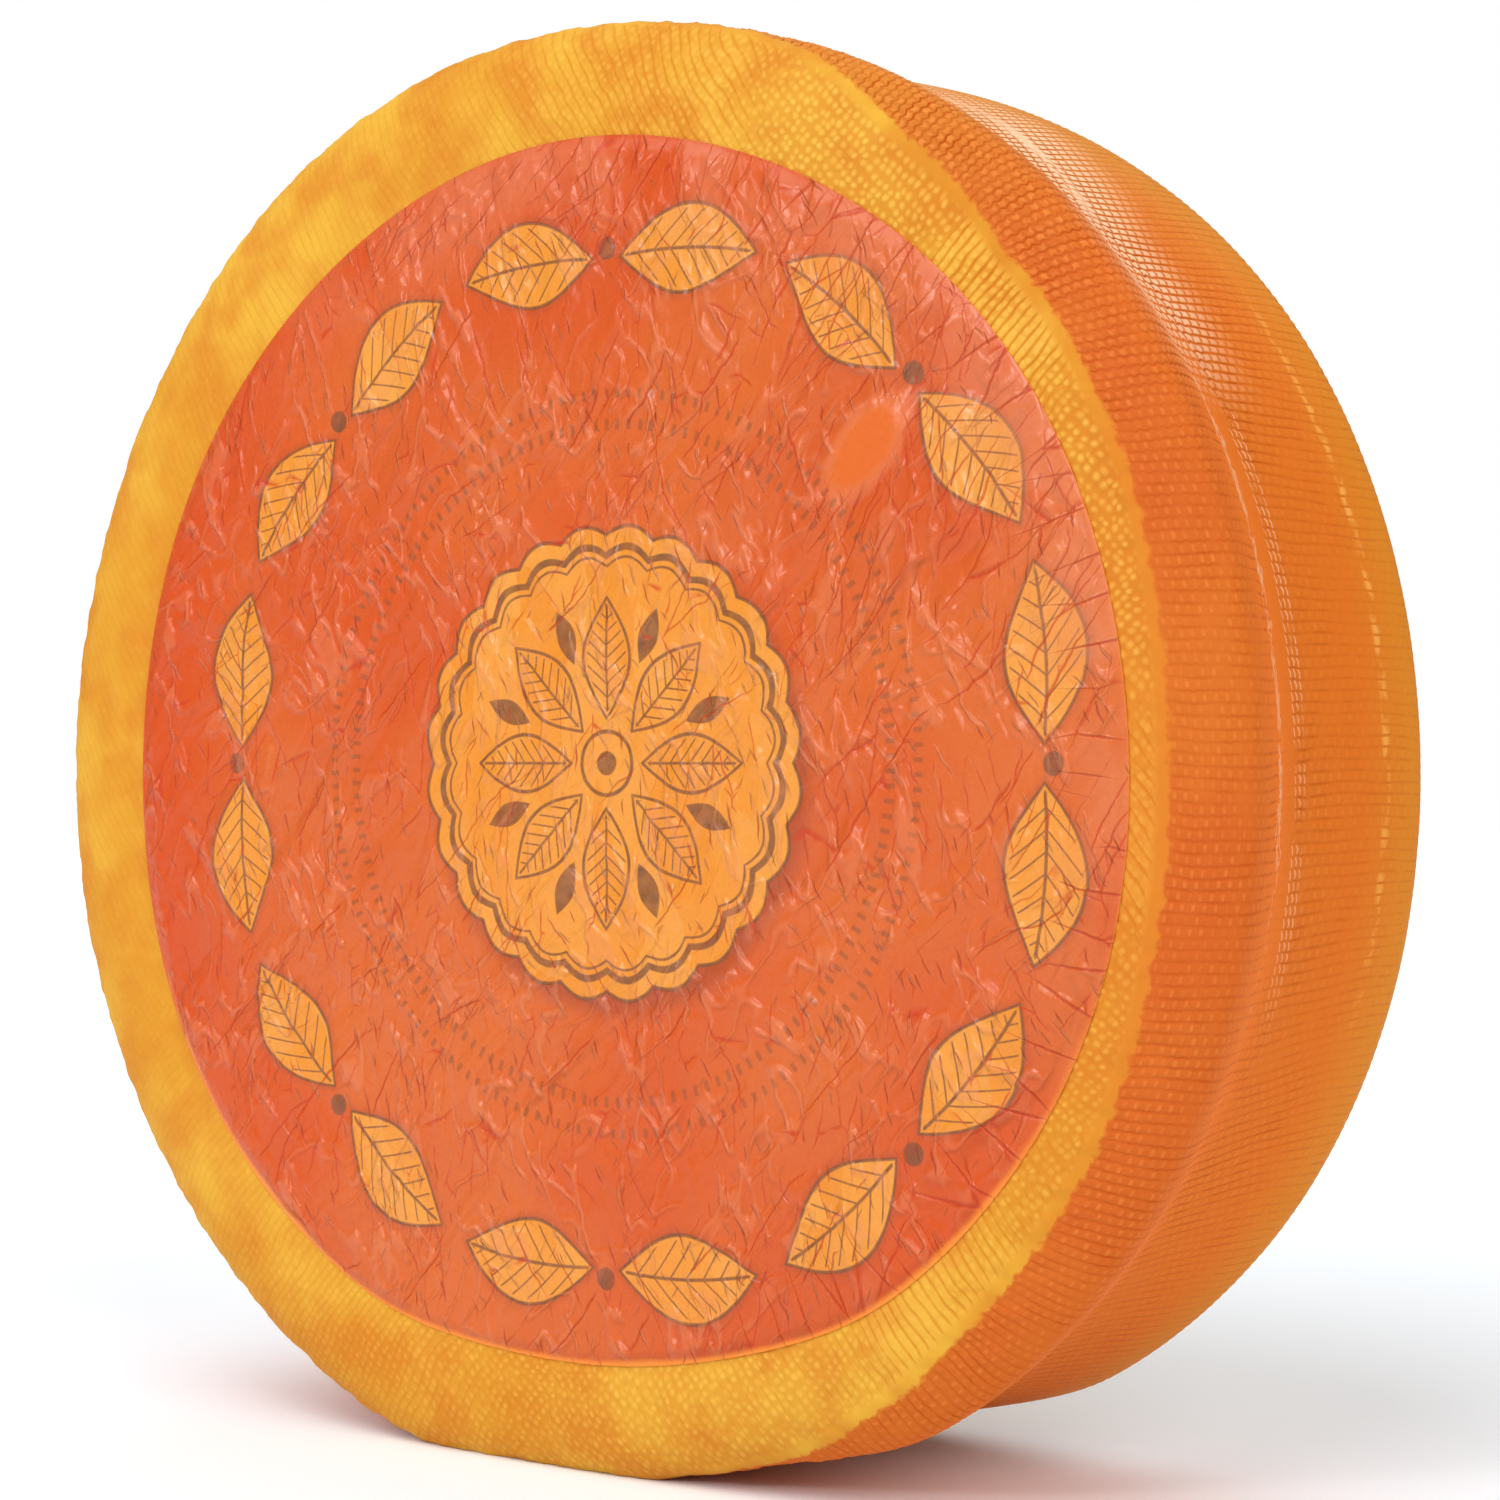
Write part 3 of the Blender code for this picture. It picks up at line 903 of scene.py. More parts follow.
def side_colour(tree, fields, slow, shine, rubbed):
    """Side colour: painted shade in grooves, painted highlights on crests, brighter toward waist and rear.
    """
    # painted shade in the grooves, and painted highlights on the crests in the next line
    groove = add_node(tree, SOFT_STEP, fields["weave"], 0.75, 0.1)
    crest = add_node(tree, SOFT_STEP, fields["weave"], 0.8, 1.0)
    toward_waist = add_node(tree, SOFT_STEP, fields["across"], -23.0, -7.0)
    behind = add_node(tree, SOFT_STEP, fields["across"], -6.0, 3.0)
    bead_place = add_node(tree, JOIN, fields["across"], fields["rows"], 0.0)
    # patches where the painted crest highlights are strong or faint
    crest_highlight_spread = add_node(tree, NOISE, Vector=bead_place, Scale=0.8, Detail=1.0)
    crest_highlight_spread = add_node(tree, RANGE, crest_highlight_spread, 0.38, 0.62, 0.1, 1.0)
    uneven = add_node(tree, NOISE, Vector=bead_place, Scale=0.30, Detail=2.0)
    uneven = add_node(tree, RANGE, uneven, 0.36, 0.64, 0.2, 1.0)
    rear = add_node(tree, SOFT_STEP, fields["across"], 16.0, 34.0)
    rise = add_node(tree, SPLIT, fields["place"]).outputs["Z"]
    upper = product(tree, add_node(tree, SOFT_STEP, rise, 165.0, 208.0), 0.55)
    return paint(
        tree, linear(RIND_SIDE[0]),
        (slow, linear(RIND_SIDE[1])),
        (toward_waist, linear(RIND_WAIST)),
        (behind, linear(RIND_BEHIND)),
        (rear, linear(RIND_REAR)),
        (upper, linear(RIND_TOP)),
        # painted shade in the grooves
        (product(tree, groove, fields["strength"], uneven, 0.85), linear(SIDE_GROOVE_SHADE)),
        # painted highlights on the crests
        (product(tree, crest, fields["strength"], crest_highlight_spread, 0.48), linear(SIDE_CREST_HIGHLIGHT)),
        # painted highlights on the beads of the rear rim; the beads are also real relief
        (product(tree, fields["beads"], 0.65), linear(REAR_BEAD_HIGHLIGHT)),
        # painted sheen of the polished band
        (product(tree, shine, 0.8), linear(SHEEN_HIGHLIGHT)),
        # painted highlight on the lines rubbed at the waist
        (product(tree, rubbed, 0.75), linear(RUBBED_LINE_HIGHLIGHT)),
    )


def rind_colour(tree, fields):
    """The rind's colour, and how strongly each place was rubbed or polished."""
    place = fields["place"]
    slow = add_node(tree, NOISE, Vector=place, Scale=0.03, Detail=3.0)
    slow = add_node(tree, SOFT_STEP, slow, 0.35, 0.65)
    broken = add_node(tree, NOISE, Vector=place, Scale=0.12, Detail=3.0)
    # the rubbed lines at the waist: a painted highlight in the colour, and less roughness
    rubbed = product(tree, fields["rubbed"], add_node(tree, SOFT_STEP, broken, 0.36, 0.5))
    # painted sheen of the polished band, which is also less rough
    shine = sheen_highlight_share(tree, fields)
    face = face_colour(tree, fields, slow)
    side = side_colour(tree, fields, slow, shine, rubbed)
    ragged = add_node(tree, SUBTRACT, add_node(tree, NOISE, Vector=place, Scale=0.60, Detail=2.0), 0.5)
    ragged = add_node(tree, MULTIPLY_ADD, ragged, 2.6, fields["border"])
    on_side = add_node(tree, SOFT_STEP, ragged, -0.25, 0.50)
    return paint(tree, face, (on_side, side)), add_node(tree, ADD, rubbed, shine)


def rind_material():
    material = bpy.data.materials.new("annatto_washed_rind")
    material.use_nodes = True
    tree = material.node_tree
    shader = tree.nodes["Principled BSDF"]
    fields = rind_height(tree)
    colour, polished = rind_colour(tree, fields)
    fine = add_node(tree, NOISE, Vector=fields["place"], Scale=1.6, Detail=2.0)
    grain = add_node(tree, MULTIPLY_ADD, fine, 0.04, fields["height"])
    bump = add_node(tree, BUMP, Strength=0.6, Distance=0.001, Height=grain)
    rough = add_node(tree, RANGE, fine, 0.3, 0.7, 0.50, 0.64)
    rough = add_node(tree, MULTIPLY_ADD, polished, -0.16, rough)
    tree.links.new(colour.outputs[2], shader.inputs["Base Color"])
    tree.links.new(rough.outputs[0], shader.inputs["Roughness"])
    tree.links.new(bump.outputs[0], shader.inputs["Normal"])
    shader.inputs["Specular IOR Level"].default_value = 0.08
    shader.inputs["Subsurface Weight"].default_value = 0.10
    shader.inputs["Subsurface Radius"].default_value = (1.0, 0.4, 0.12)
    shader.inputs["Subsurface Scale"].default_value = 0.0010
    shader.inputs["IOR"].default_value = 1.30
    return material


rind = rind_material()
wheel = add_piece("cheese_wheel_rind", rind_mesh)
run_tree(wheel, imprint_tree(), {"Relief": 1.0, "Unevenness": UNEVEN_RELIEF, "Seed": 3.0, "Material": rind})
report_piece(wheel)

# %% [markdown]
# ## The film's form
# The film is a thin plastic sheet laid on the face. It could be a flat disc with a bump texture, but
# its wrinkles catch the light, so they are real. The disc is made of rings that stay about 0.5 mm
# apart all over, each with six points more than the last, and it is closed behind by a few coarse
# rings that sink into the rind. Each point notes how far inside the film's edge it lies.

# %% The film's smooth mesh
FILM_RINGS = 172
FILM_WAVES = (
    # the film was cut by hand: waves of its edge, height in metres, phase in degrees
    (1, 0.00074, 55.0), (2, 0.00035, 50.0), (4, 0.00035, 355.0), (5, 0.00035, 275.0), (6, 0.00034, 331.0),
)
FILM_LIFT = 0.00010           # the edge lies this far in front of the face
FILM_SINK = 0.00040           # the hidden back of the film lies this far behind the face
FILM_EDGE = 0.9988            # a ring this near the edge keeps the bend over the edge sharp


def film_ring(radius, columns, depth):
    """Points of a ring about the film's middle, pulled in where the wheel's outline is flat."""
    turn_angle = 2 * np.pi * np.arange(columns) / columns
    waves = sum(height * np.cos(count * turn_angle + math.radians(phase))
                for count, height, phase in FILM_WAVES)
    radius = radius * (1 + waves / FILM_RADIUS)
    across = FILM_OFFSET_X + radius * np.sin(turn_angle)
    height = -radius * np.cos(turn_angle)
    factor = outline_factor(np.arctan2(across, -height), FACE_SOFTNESS)
    depths = np.full(columns, FACE_Y + depth)
    return np.stack([across * factor, depths, CENTRE_HEIGHT + height * factor], 1)


def film_mesh():
    """The closed smooth film, with the distance from its edge in mm on every point."""
    shares = [(step / FILM_RINGS, max(6 * step, 1), -FILM_LIFT) for step in range(FILM_RINGS)]
    shares += [(share, 6 * FILM_RINGS, -FILM_LIFT) for share in (FILM_EDGE, 1.0)]
    shares += [(1.0, 6 * FILM_RINGS, FILM_SINK), (0.8, 204, FILM_SINK), (0.4, 51, FILM_SINK)]
    shares += [(0.0, 1, FILM_SINK)]
    rings = [film_ring(FILM_RADIUS * share, columns, depth) for share, columns, depth in shares]
    mesh, _ = sew_rings("printed_film_crumpled", rings)
    inside = [(FILM_RADIUS * 1000 * (1 - share), float(depth < 0), 0.0) for share, _, depth in shares]
    note_vectors(mesh, "hem", np.repeat(np.array(inside), [columns for _, columns, _ in shares], axis=0))
    return mesh


film_sheet = film_mesh()
print("film points:", len(film_sheet.vertices))

# %% [markdown]
# ## The wrinkles as one rule
# A crumpled sheet is a patchwork of nearly flat facets that meet in sharp creases. Voronoi cells give
# that patchwork: each cell is tilted at random, and long thin cells give long creases. One set follows
# the main direction, one crosses it and a small one breaks up both. A fourth, of the longest lines,
# shows only where the film is drawn taut, at the upper right. A crease line tapers out where the film
# lies calm. Over them go thin folds, which are the lines where a noise crosses its middle. Short
# strokes stand between them, some pressed in and painted dark as shade, some raised and painted pale as
# highlights. Near the right edge radial pleats take over, and at the upper right a smooth blister stands
# where air was caught. All these patterns are flat ones, seen straight from the front, which are much
# quicker to shade than solid ones.

# %% Rules of the wrinkles, in millimetres
CREASE_SETS = (
    # direction in degrees, length and width of a facet, tilt, depth of the crease, share kept,
    # and how much more is kept where the film is drawn taut
    (50.0, 42.0, 9.0, 0.90, 0.12, 0.50, 0.05),
    (111.0, 20.0, 6.5, 0.45, 0.08, 0.40, 0.0),
    (78.0, 8.0, 3.6, 0.20, 0.05, 0.25, 0.0),
    (54.0, 46.0, 4.4, 0.20, 0.08, -0.20, 0.20),
)
STROKE_SETS = (
    # direction, length and width of a cell, half size of the stroke, share kept, height
    (108.0, 10.0, 4.0, 2.5, 0.20, 0.52, -0.20),
    (119.0, 8.0, 3.6, 2.0, 0.21, 0.50, 0.28),
    (62.0, 9.0, 4.6, 1.9, 0.17, 0.36, 0.20),
)
CRUMPLE_SETS = (
    # direction, length and width of the fold's course, half width of its ridge, height
    (112.0, 12.0, 5.0, 0.090, 0.20),
    (54.0, 15.0, 6.0, 0.060, 0.14),
)
FILM_REST = 0.36              # how far the film stands off the rind away from its edge
LINE_HALF = 0.24              # half the width of a crease line at its broadest
PLEAT_ANGLE = 3.6             # spacing of the radial pleats, in degrees
PLEAT_LENGTH = 16.0
PLEAT_LEAN = 0.35
PLEAT_DEPTH = 0.15
HEM_REACH = 2.4               # the film comes down to the rind over this distance from its edge
BLISTER_PLACE = (50.0, 0.0, 43.0)
BLISTER_SIZE = (1 / 11.0, 1.0, 1 / 5.5)
BLISTER_TURN = math.radians(46.0)
BLISTER_HEIGHT = 0.20
FILM_HIGHEST = 0.78           # no part of the form stands off farther than this


def about_film(tree):
    """Place in mm about the film's middle, with the depth left out."""
    middle = (FILM_OFFSET_X * 1000, 0.0, CENTRE_HEIGHT * 1000)
    place = add_node(tree, VECTOR_SUBTRACT, place_mm(tree), middle)
    return add_node(tree, VECTOR_MULTIPLY, place, (1.0, 0.0, 1.0))


def crease_set(tree, place, taut, direction, length, width, tilt, depth, kept, drawn):
    """Height of one patchwork of facets, its crease lines and a random value for each facet."""
    turned = flat(tree, add_node(tree, TURN, place, Angle=math.radians(direction)))
    cells = add_node(tree, VECTOR_MULTIPLY, turned, (1 / length, 1 / width, 0.0))
    border = add_node(tree, CELL_BORDERS, cells, Scale=1.0)
    cell = add_node(tree, CELLS, cells, Scale=1.0)
    lean = add_node(tree, VECTOR_SUBTRACT, cell.outputs["Color"], (0.5, 0.5, 0.5))
    offset = add_node(tree, VECTOR_SUBTRACT, cells, cell.outputs["Position"])
    rise = add_node(tree, VECTOR_DOT, lean, offset)
    inner = add_node(tree, SOFT_STEP, border, 0.0, 0.20)
    height = product(tree, rise, tilt, inner)
    patch = add_node(tree, FLAT_NOISE, Vector=turned, Scale=0.085, Detail=2.0)
    patch = add_node(tree, MULTIPLY_ADD, taut, drawn, patch)
    there = add_node(tree, SOFT_STEP, patch, 0.56 - 0.2 * kept, 0.70 - 0.2 * kept)
    half = add_node(tree, MULTIPLY_ADD, there, LINE_HALF / width, 0.0001)
    reach = add_node(tree, SPLIT, add_node(tree, VECTOR_ABSOLUTE, offset))
    beside = add_node(tree, SUBTRACT, reach.outputs["Y"], reach.outputs["X"])
    long_side = add_node(tree, SOFT_STEP, beside, -0.25, 0.10)
    line = product(tree, add_node(tree, SOFT_STEP, border, half, 0.0), there, long_side)
    height = add_node(tree, MULTIPLY_ADD, line, -depth, height)
    return height, line, add_node(tree, SPLIT, cell.outputs["Color"]).outputs["Y"]


def crumple(tree, place, direction, length, width, half_ridge, height):
    """Thin folds that run mostly along one direction, tall in some places and gone in others."""
    turned = flat(tree, add_node(tree, TURN, place, Angle=math.radians(direction)))
    stretched = add_node(tree, VECTOR_MULTIPLY, turned, (1 / length, 1 / width, 0.0))
    wave = add_node(tree, FLAT_NOISE, Vector=stretched, Scale=1.0, Detail=1.0)
    ridge = add_node(tree, ABSOLUTE, add_node(tree, SUBTRACT, wave, 0.5))
    ridge = add_node(tree, SOFT_STEP, ridge, half_ridge, 0.0)
    patch = add_node(tree, FLAT_NOISE, Vector=stretched, Scale=0.7, Detail=1.0)
    return product(tree, ridge, add_node(tree, SOFT_STEP, patch, 0.42, 0.58), height)


def stroke_set(tree, place, direction, length, width, half_length, half_width, kept):
    """Short separate strokes, one in some of the cells: 1 on the stroke's middle."""
    turned = flat(tree, add_node(tree, TURN, place, Angle=math.radians(direction)))
    cells = add_node(tree, VECTOR_MULTIPLY, turned, (1 / length, 1 / width, 0.0))
    cell = add_node(tree, CELLS, cells, Scale=1.0, Randomness=0.9)
    offset = add_node(tree, VECTOR_SUBTRACT, cells, cell.outputs["Position"])
    sized = add_node(tree, VECTOR_MULTIPLY, offset, (length / half_length, width / half_width, 0.0))
    chance = add_node(tree, SPLIT, cell.outputs["Color"])
    reach = add_node(tree, MULTIPLY_ADD, chance.outputs["Y"], 0.8, 0.4)
    near = add_node(tree, SOFT_STEP, add_node(tree, VECTOR_LENGTH, sized), reach, 0.1)
    kept_here = add_node(tree, SOFT_STEP, chance.outputs["X"], 1.0 - kept - 0.08, 1.0 - kept + 0.08)
    return product(tree, near, kept_here)


def pleats(tree, place, hem):
    """Radial pleats near the film's edge: how far each sector leans, and the lines between them."""
    sides = add_node(tree, SPLIT, place)
    angle = add_node(tree, ARCTAN2, sides.outputs["Z"], sides.outputs["X"])
    radius = add_node(tree, VECTOR_LENGTH, place)
    along = product(tree, angle, 180.0 / math.pi / PLEAT_ANGLE)
    polar = add_node(tree, JOIN, along, product(tree, radius, 1.0 / PLEAT_LENGTH), 0.0)
    border = add_node(tree, CELL_BORDERS, polar, Scale=1.0)
    cell = add_node(tree, CELLS, polar, Scale=1.0)
    patch = add_node(tree, NOISE, Vector=place, Scale=0.05, Detail=1.0)
    right = add_node(tree, SOFT_STEP, sides.outputs["X"], 0.0, 50.0)
    share = product(
        tree, add_node(tree, SOFT_STEP, hem, 15.0, 3.0), right,
        add_node(tree, SOFT_STEP, patch, 0.38, 0.52),
    )
    half = add_node(tree, MULTIPLY_ADD, share, 0.050, 0.0001)
    line = product(tree, add_node(tree, SOFT_STEP, border, half, 0.0), share)
    offset = add_node(tree, VECTOR_SUBTRACT, polar, cell.outputs["Position"])
    lean = add_node(tree, SPLIT, offset).outputs["X"]
    return product(tree, lean, share), line


def blister(tree, place):
    """1 on top of the smooth blister, falling to 0 at its rim."""
    offset = add_node(tree, VECTOR_SUBTRACT, place, BLISTER_PLACE)
    turned = add_node(tree, TURN, offset, Angle=BLISTER_TURN)
    away = add_node(tree, VECTOR_LENGTH, add_node(tree, VECTOR_MULTIPLY, turned, BLISTER_SIZE))
    return add_node(tree, SOFT_STEP, away, 1.0, 0.5)


def film_fields(tree):
    """Form of the film over the rind in mm, its full height for shading, and fields for its colour."""
    place = about_film(tree)
    hem = add_node(tree, SPLIT, surface_value(tree, "hem")).outputs["X"]
    slow = add_node(tree, NOISE, Vector=place, Scale=0.03, Detail=1.0)
    quick = add_node(tree, NOISE, Vector=place, Scale=0.28, Detail=1.0)
    bent = add_node(tree, VECTOR_MULTIPLY_ADD, slow.outputs["Color"], (14.0, 0.0, 14.0), place)
    bent = add_node(tree, VECTOR_MULTIPLY_ADD, quick.outputs["Color"], (1.3, 0.0, 1.3), bent)
    bubble = blister(tree, place)
    calm = add_node(tree, SUBTRACT, 1.0, bubble)
    height = add_node(tree, MULTIPLY_ADD, bubble, BLISTER_HEIGHT, FILM_REST)
    taut = add_node(tree, VECTOR_DOT, place, (0.7, 0.0, 0.7))
    taut = add_node(tree, SOFT_STEP, taut, 20.0, 80.0)
    lines = 0.0
    facets = []
    for numbers in CREASE_SETS:
        part, line, facet = crease_set(tree, bent, taut, *numbers)
        height = add_node(tree, MULTIPLY_ADD, part, calm, height)
        lines = add_node(tree, MAXIMUM, line, lines)
        facets.append(facet)
    folds = 0.0
    for numbers in CRUMPLE_SETS:
        fold = product(tree, crumple(tree, bent, *numbers), calm)
        height = add_node(tree, ADD, fold, height)
        folds = add_node(tree, MAXIMUM, fold, folds)
    lean, pleat_line = pleats(tree, place, hem)
    height = add_node(tree, MULTIPLY_ADD, lean, PLEAT_LEAN, height)
    height = product(tree, height, add_node(tree, SOFT_STEP, hem, 0.0, HEM_REACH))
    form = add_node(tree, MINIMUM, add_node(tree, MAXIMUM, height, 0.0), FILM_HIGHEST)
    strokes = []
    for *sizes, stroke_height in STROKE_SETS:
        stroke = product(tree, stroke_set(tree, bent, *sizes), calm)
        height = add_node(tree, MULTIPLY_ADD, stroke, stroke_height, height)
        strokes.append(stroke)
    height = add_node(tree, MULTIPLY_ADD, pleat_line, -PLEAT_DEPTH, height)
    return {"place": place, "hem": hem, "form": form, "height": height,
            "lines": product(tree, lines, calm), "facets": facets, "dark": strokes[0],
            "pale": add_node(tree, MAXIMUM, strokes[1], strokes[2]), "folds": folds,
            "pleat": pleat_line, "bubble": bubble}


print("facets of", [numbers[1:3] for numbers in CREASE_SETS], "mm")

# %% [markdown]
# ## Moving the film's points
# Only the front of the film is moved, straight forward. The hidden back stays in the rind. The short
# strokes are finer than the mesh, so they are left to the shading.

# %% The wrinkle tree
def wrinkle_tree():
    tree, given = start_tree("film_wrinkles", {
        "Height": ("NodeSocketFloat", 1.0),
        "Material": ("NodeSocketMaterial", None),
    })
    fields = film_fields(tree)
    front = add_node(tree, SPLIT, surface_value(tree, "hem")).outputs["Y"]
    lift = product(tree, fields["form"], given.outputs["Height"], front)
    shift = add_node(tree, VECTOR_SCALE, (0.0, -0.001, 0.0), lift)
    set_position = ("GeometryNodeSetPosition", {})
    moved = add_node(tree, set_position, Geometry=given.outputs["Geometry"], Offset=shift)
    end_tree(tree, moved, given.outputs["Material"])
    return tree


print("wrinkle tree ready")

# %% [markdown]
# ## The print
# The print is a plain ornament made for this part: a golden medallion with a flower, two rings of
# small marks, and a garland of laurel leaves. It is drawn as fields of colour with distances in
# millimetres, because eight equal sectors need only one sector's rule, folded round the middle.

# %% Rules of the print, in millimetres
PRINT_MIDDLE = (9.0, 0.0, CENTRE_HEIGHT * 1000)
SECTOR_HALF = math.pi / 8
MEDAL_RADIUS = 33.0
SCALLOPS = 24
PETAL_START, PETAL_LENGTH, PETAL_WIDTH = 6.5, 17.5, 4.2
TICK_RINGS = ((49.0, 0.8, 150), (53.5, 0.7, 165))      # radius, half height, number of marks
LEAF_RADIUS, LEAF_START, LEAF_LENGTH, LEAF_WIDTH = 74.5, 2.6, 24.0, 6.4
LINE = 0.28                   # half the width of a printed line


def near_zero(tree, value, width):
    """1 where a distance is near 0, soft over the last quarter of a millimetre."""
    return add_node(tree, SOFT_STEP, add_node(tree, ABSOLUTE, value), width + 0.12, width - 0.12)


def either(tree, first, *others):
    """The largest of some fields."""
    for other in others:
        first = add_node(tree, MAXIMUM, first, other)
    return first


def leaf_shape(tree, along, across, start, length, width):
    """How far a place lies outside a pointed leaf, in mm and below 0 inside it."""
    share = add_node(tree, RANGE, along, start, start + length, 0.0, 1.0)
    half = product(tree, add_node(tree, SINE, product(tree, share, math.pi)), width)
    beside = add_node(tree, SUBTRACT, add_node(tree, ABSOLUTE, across), half)
    from_middle = add_node(tree, ABSOLUTE, add_node(tree, ADD, along, -start - length / 2))
    beyond = add_node(tree, MAXIMUM, add_node(tree, ADD, from_middle, -length / 2), 0.0)
    return add_node(tree, ADD, beside, beyond)


def stripes(tree, value, spacing, width):
    """Thin lines at equal spacing."""
    return near_zero(tree, add_node(tree, PINGPONG, value, spacing / 2), width)


def turned_sides(tree, radius, angle):
    """A place given by radius and angle, as distances along and across."""
    along = product(tree, radius, add_node(tree, COSINE, angle))
    across = product(tree, radius, add_node(tree, SINE, angle))
    return along, across


def medallion(tree, radius, angle, fold):
    """Gold and ink of the round medallion with its flower."""
    wave = add_node(tree, ABSOLUTE, add_node(tree, SINE, product(tree, angle, SCALLOPS / 2)))
    edge = add_node(tree, MULTIPLY_ADD, wave, 1.5, MEDAL_RADIUS)
    off = add_node(tree, SUBTRACT, radius, edge)
    gold = add_node(tree, SOFT_STEP, off, 0.15, -0.15)
    rules = [near_zero(tree, add_node(tree, ADD, off, gap), width)
             for gap, width in ((0.0, 0.30), (3.0, 0.55), (4.5, 0.20))]
    along, across = turned_sides(tree, radius, fold)
    petal = leaf_shape(tree, along, across, PETAL_START, PETAL_LENGTH, PETAL_WIDTH)
    inside = add_node(tree, SOFT_STEP, petal, -0.5, -0.8)
    veins = stripes(tree, add_node(tree, MULTIPLY_ADD, across, -0.8, along), 1.9, 0.16)
    rib = near_zero(tree, across, 0.2)
    heart = near_zero(tree, add_node(tree, SUBTRACT, radius, 4.6), 0.3)
    dot = add_node(tree, SOFT_STEP, radius, 1.9, 1.6)
    between = add_node(tree, SUBTRACT, SECTOR_HALF, fold)
    bud = leaf_shape(tree, *turned_sides(tree, radius, between), 15.5, 8.5, 1.7)
    ink = either(
        tree, *rules, near_zero(tree, petal, LINE), product(tree, either(tree, veins, rib), inside),
        heart, dot, add_node(tree, SOFT_STEP, bud, 0.1, -0.1),
    )
    return gold, ink


def garland(tree, radius, fold):
    """Gold, ink and outer distance of the laurel garland: a pair of leaves in each sector."""
    along = product(tree, fold, LEAF_RADIUS)
    across = add_node(tree, SUBTRACT, radius, LEAF_RADIUS)
    bent = add_node(tree, ADD, add_node(tree, MULTIPLY_ADD, along, -0.13, across), 1.7)
    leaf = leaf_shape(tree, along, bent, LEAF_START, LEAF_LENGTH, LEAF_WIDTH)
    inside = add_node(tree, SOFT_STEP, leaf, -0.6, -0.9)
    slanted = add_node(tree, MULTIPLY_ADD, add_node(tree, ABSOLUTE, bent), -0.9, along)
    veins = either(tree, stripes(tree, slanted, 2.9, 0.17), near_zero(tree, bent, 0.25))
    berry = add_node(tree, VECTOR_LENGTH, add_node(tree, JOIN, along, across, 0.0))
    ink = either(
        tree, near_zero(tree, leaf, LINE), product(tree, veins, inside),
        add_node(tree, SOFT_STEP, berry, 1.8, 1.5),
    )
    return add_node(tree, SOFT_STEP, leaf, 0.15, -0.15), ink, leaf


def print_fields(tree):
    """Gold, ink, faint ink and soft shade of the whole print."""
    place = add_node(tree, VECTOR_SUBTRACT, place_mm(tree), PRINT_MIDDLE)
    place = add_node(tree, VECTOR_MULTIPLY, place, (1.0, 0.0, 1.0))
    sides = add_node(tree, SPLIT, place)
    radius = add_node(tree, VECTOR_LENGTH, place)
    angle = add_node(tree, ARCTAN2, sides.outputs["X"], sides.outputs["Z"])
    fold = add_node(tree, PINGPONG, angle, SECTOR_HALF)
    medal_gold, medal_ink = medallion(tree, radius, angle, fold)
    leaf_gold, leaf_ink, leaf_off = garland(tree, radius, fold)
    marks = []
    for ring_radius, half_height, count in TICK_RINGS:
        turn_wave = add_node(tree, COSINE, product(tree, angle, count))
        away = add_node(tree, SUBTRACT, radius, ring_radius)
        mark = add_node(tree, SOFT_STEP, turn_wave, 0.2, 0.8)
        marks.append(product(tree, mark, near_zero(tree, away, half_height)))
    low = add_node(tree, VECTOR_LENGTH, add_node(tree, VECTOR_SUBTRACT, place, (1.3, 0.0, -1.8)))
    shade = add_node(tree, SOFT_STEP, low, MEDAL_RADIUS + 3.6, MEDAL_RADIUS - 0.5)
    halo = product(tree, add_node(tree, SOFT_STEP, leaf_off, 2.0, 0.0), 0.5)
    return {"gold": either(tree, medal_gold, leaf_gold), "ink": either(tree, medal_ink, leaf_ink),
            "marks": either(tree, *marks), "shade": either(tree, shade, halo)}


print("leaves:", 2 * round(math.pi / SECTOR_HALF), "marks:", [count for _, _, count in TICK_RINGS])

# %% [markdown]
# ## The film's finish
# The film is clear polyethylene, printed on its inner side, so the colour lies under a glossy skin.
# Creases, pleat lines and pressed-in strokes are painted as thin dark red lines of shade, and raised
# strokes, fold ridges, the blister's rim and patches at the upper right are painted paler as highlights.
# At the bottom the outermost millimetre or two is bare of print, so the orange rind shows through it.
# The glossy skin gives the eye the small sharp glints that tell plastic from wax.

# %% Printed film material
FILM_FIELD = ("#c24c1a", "#c66029")
FILM_DEEP = "#c04414"
FILM_FACET = "#bd5124"
FILM_GOLD = ("#d48026", "#d88e3c")
FILM_INK = "#72452c"
FILM_SHADE = "#994326"
# painted shade for creases, then painted highlights for strokes, ridges, the blister's rim and patches
FILM_CREASE_SHADE = "#b7320f"
FILM_HIGHLIGHT = "#d3815a"
FILM_BLISTER = "#d46824"
FILM_HEM = "#e4842c"


def painted_highlight_share(tree, fields, sides, near_edge, patch):
    """Where painted highlights go: patches at the upper right, the raised strokes and the fold ridges."""
    toward_light = add_node(tree, MULTIPLY_ADD, sides.outputs["X"], 0.6, sides.outputs["Z"])
    patches = product(tree, near_edge, add_node(tree, SOFT_STEP, toward_light, 0.0, 75.0))
    patches = product(tree, patches, add_node(tree, SOFT_STEP, patch, 0.35, 0.6))
    ridge = add_node(tree, SOFT_STEP, fields["folds"], 0.05, 0.19)
    return either(
        tree, product(tree, patches, 0.42), product(tree, fields["pale"], 0.55),
        product(tree, ridge, 0.25),
    )


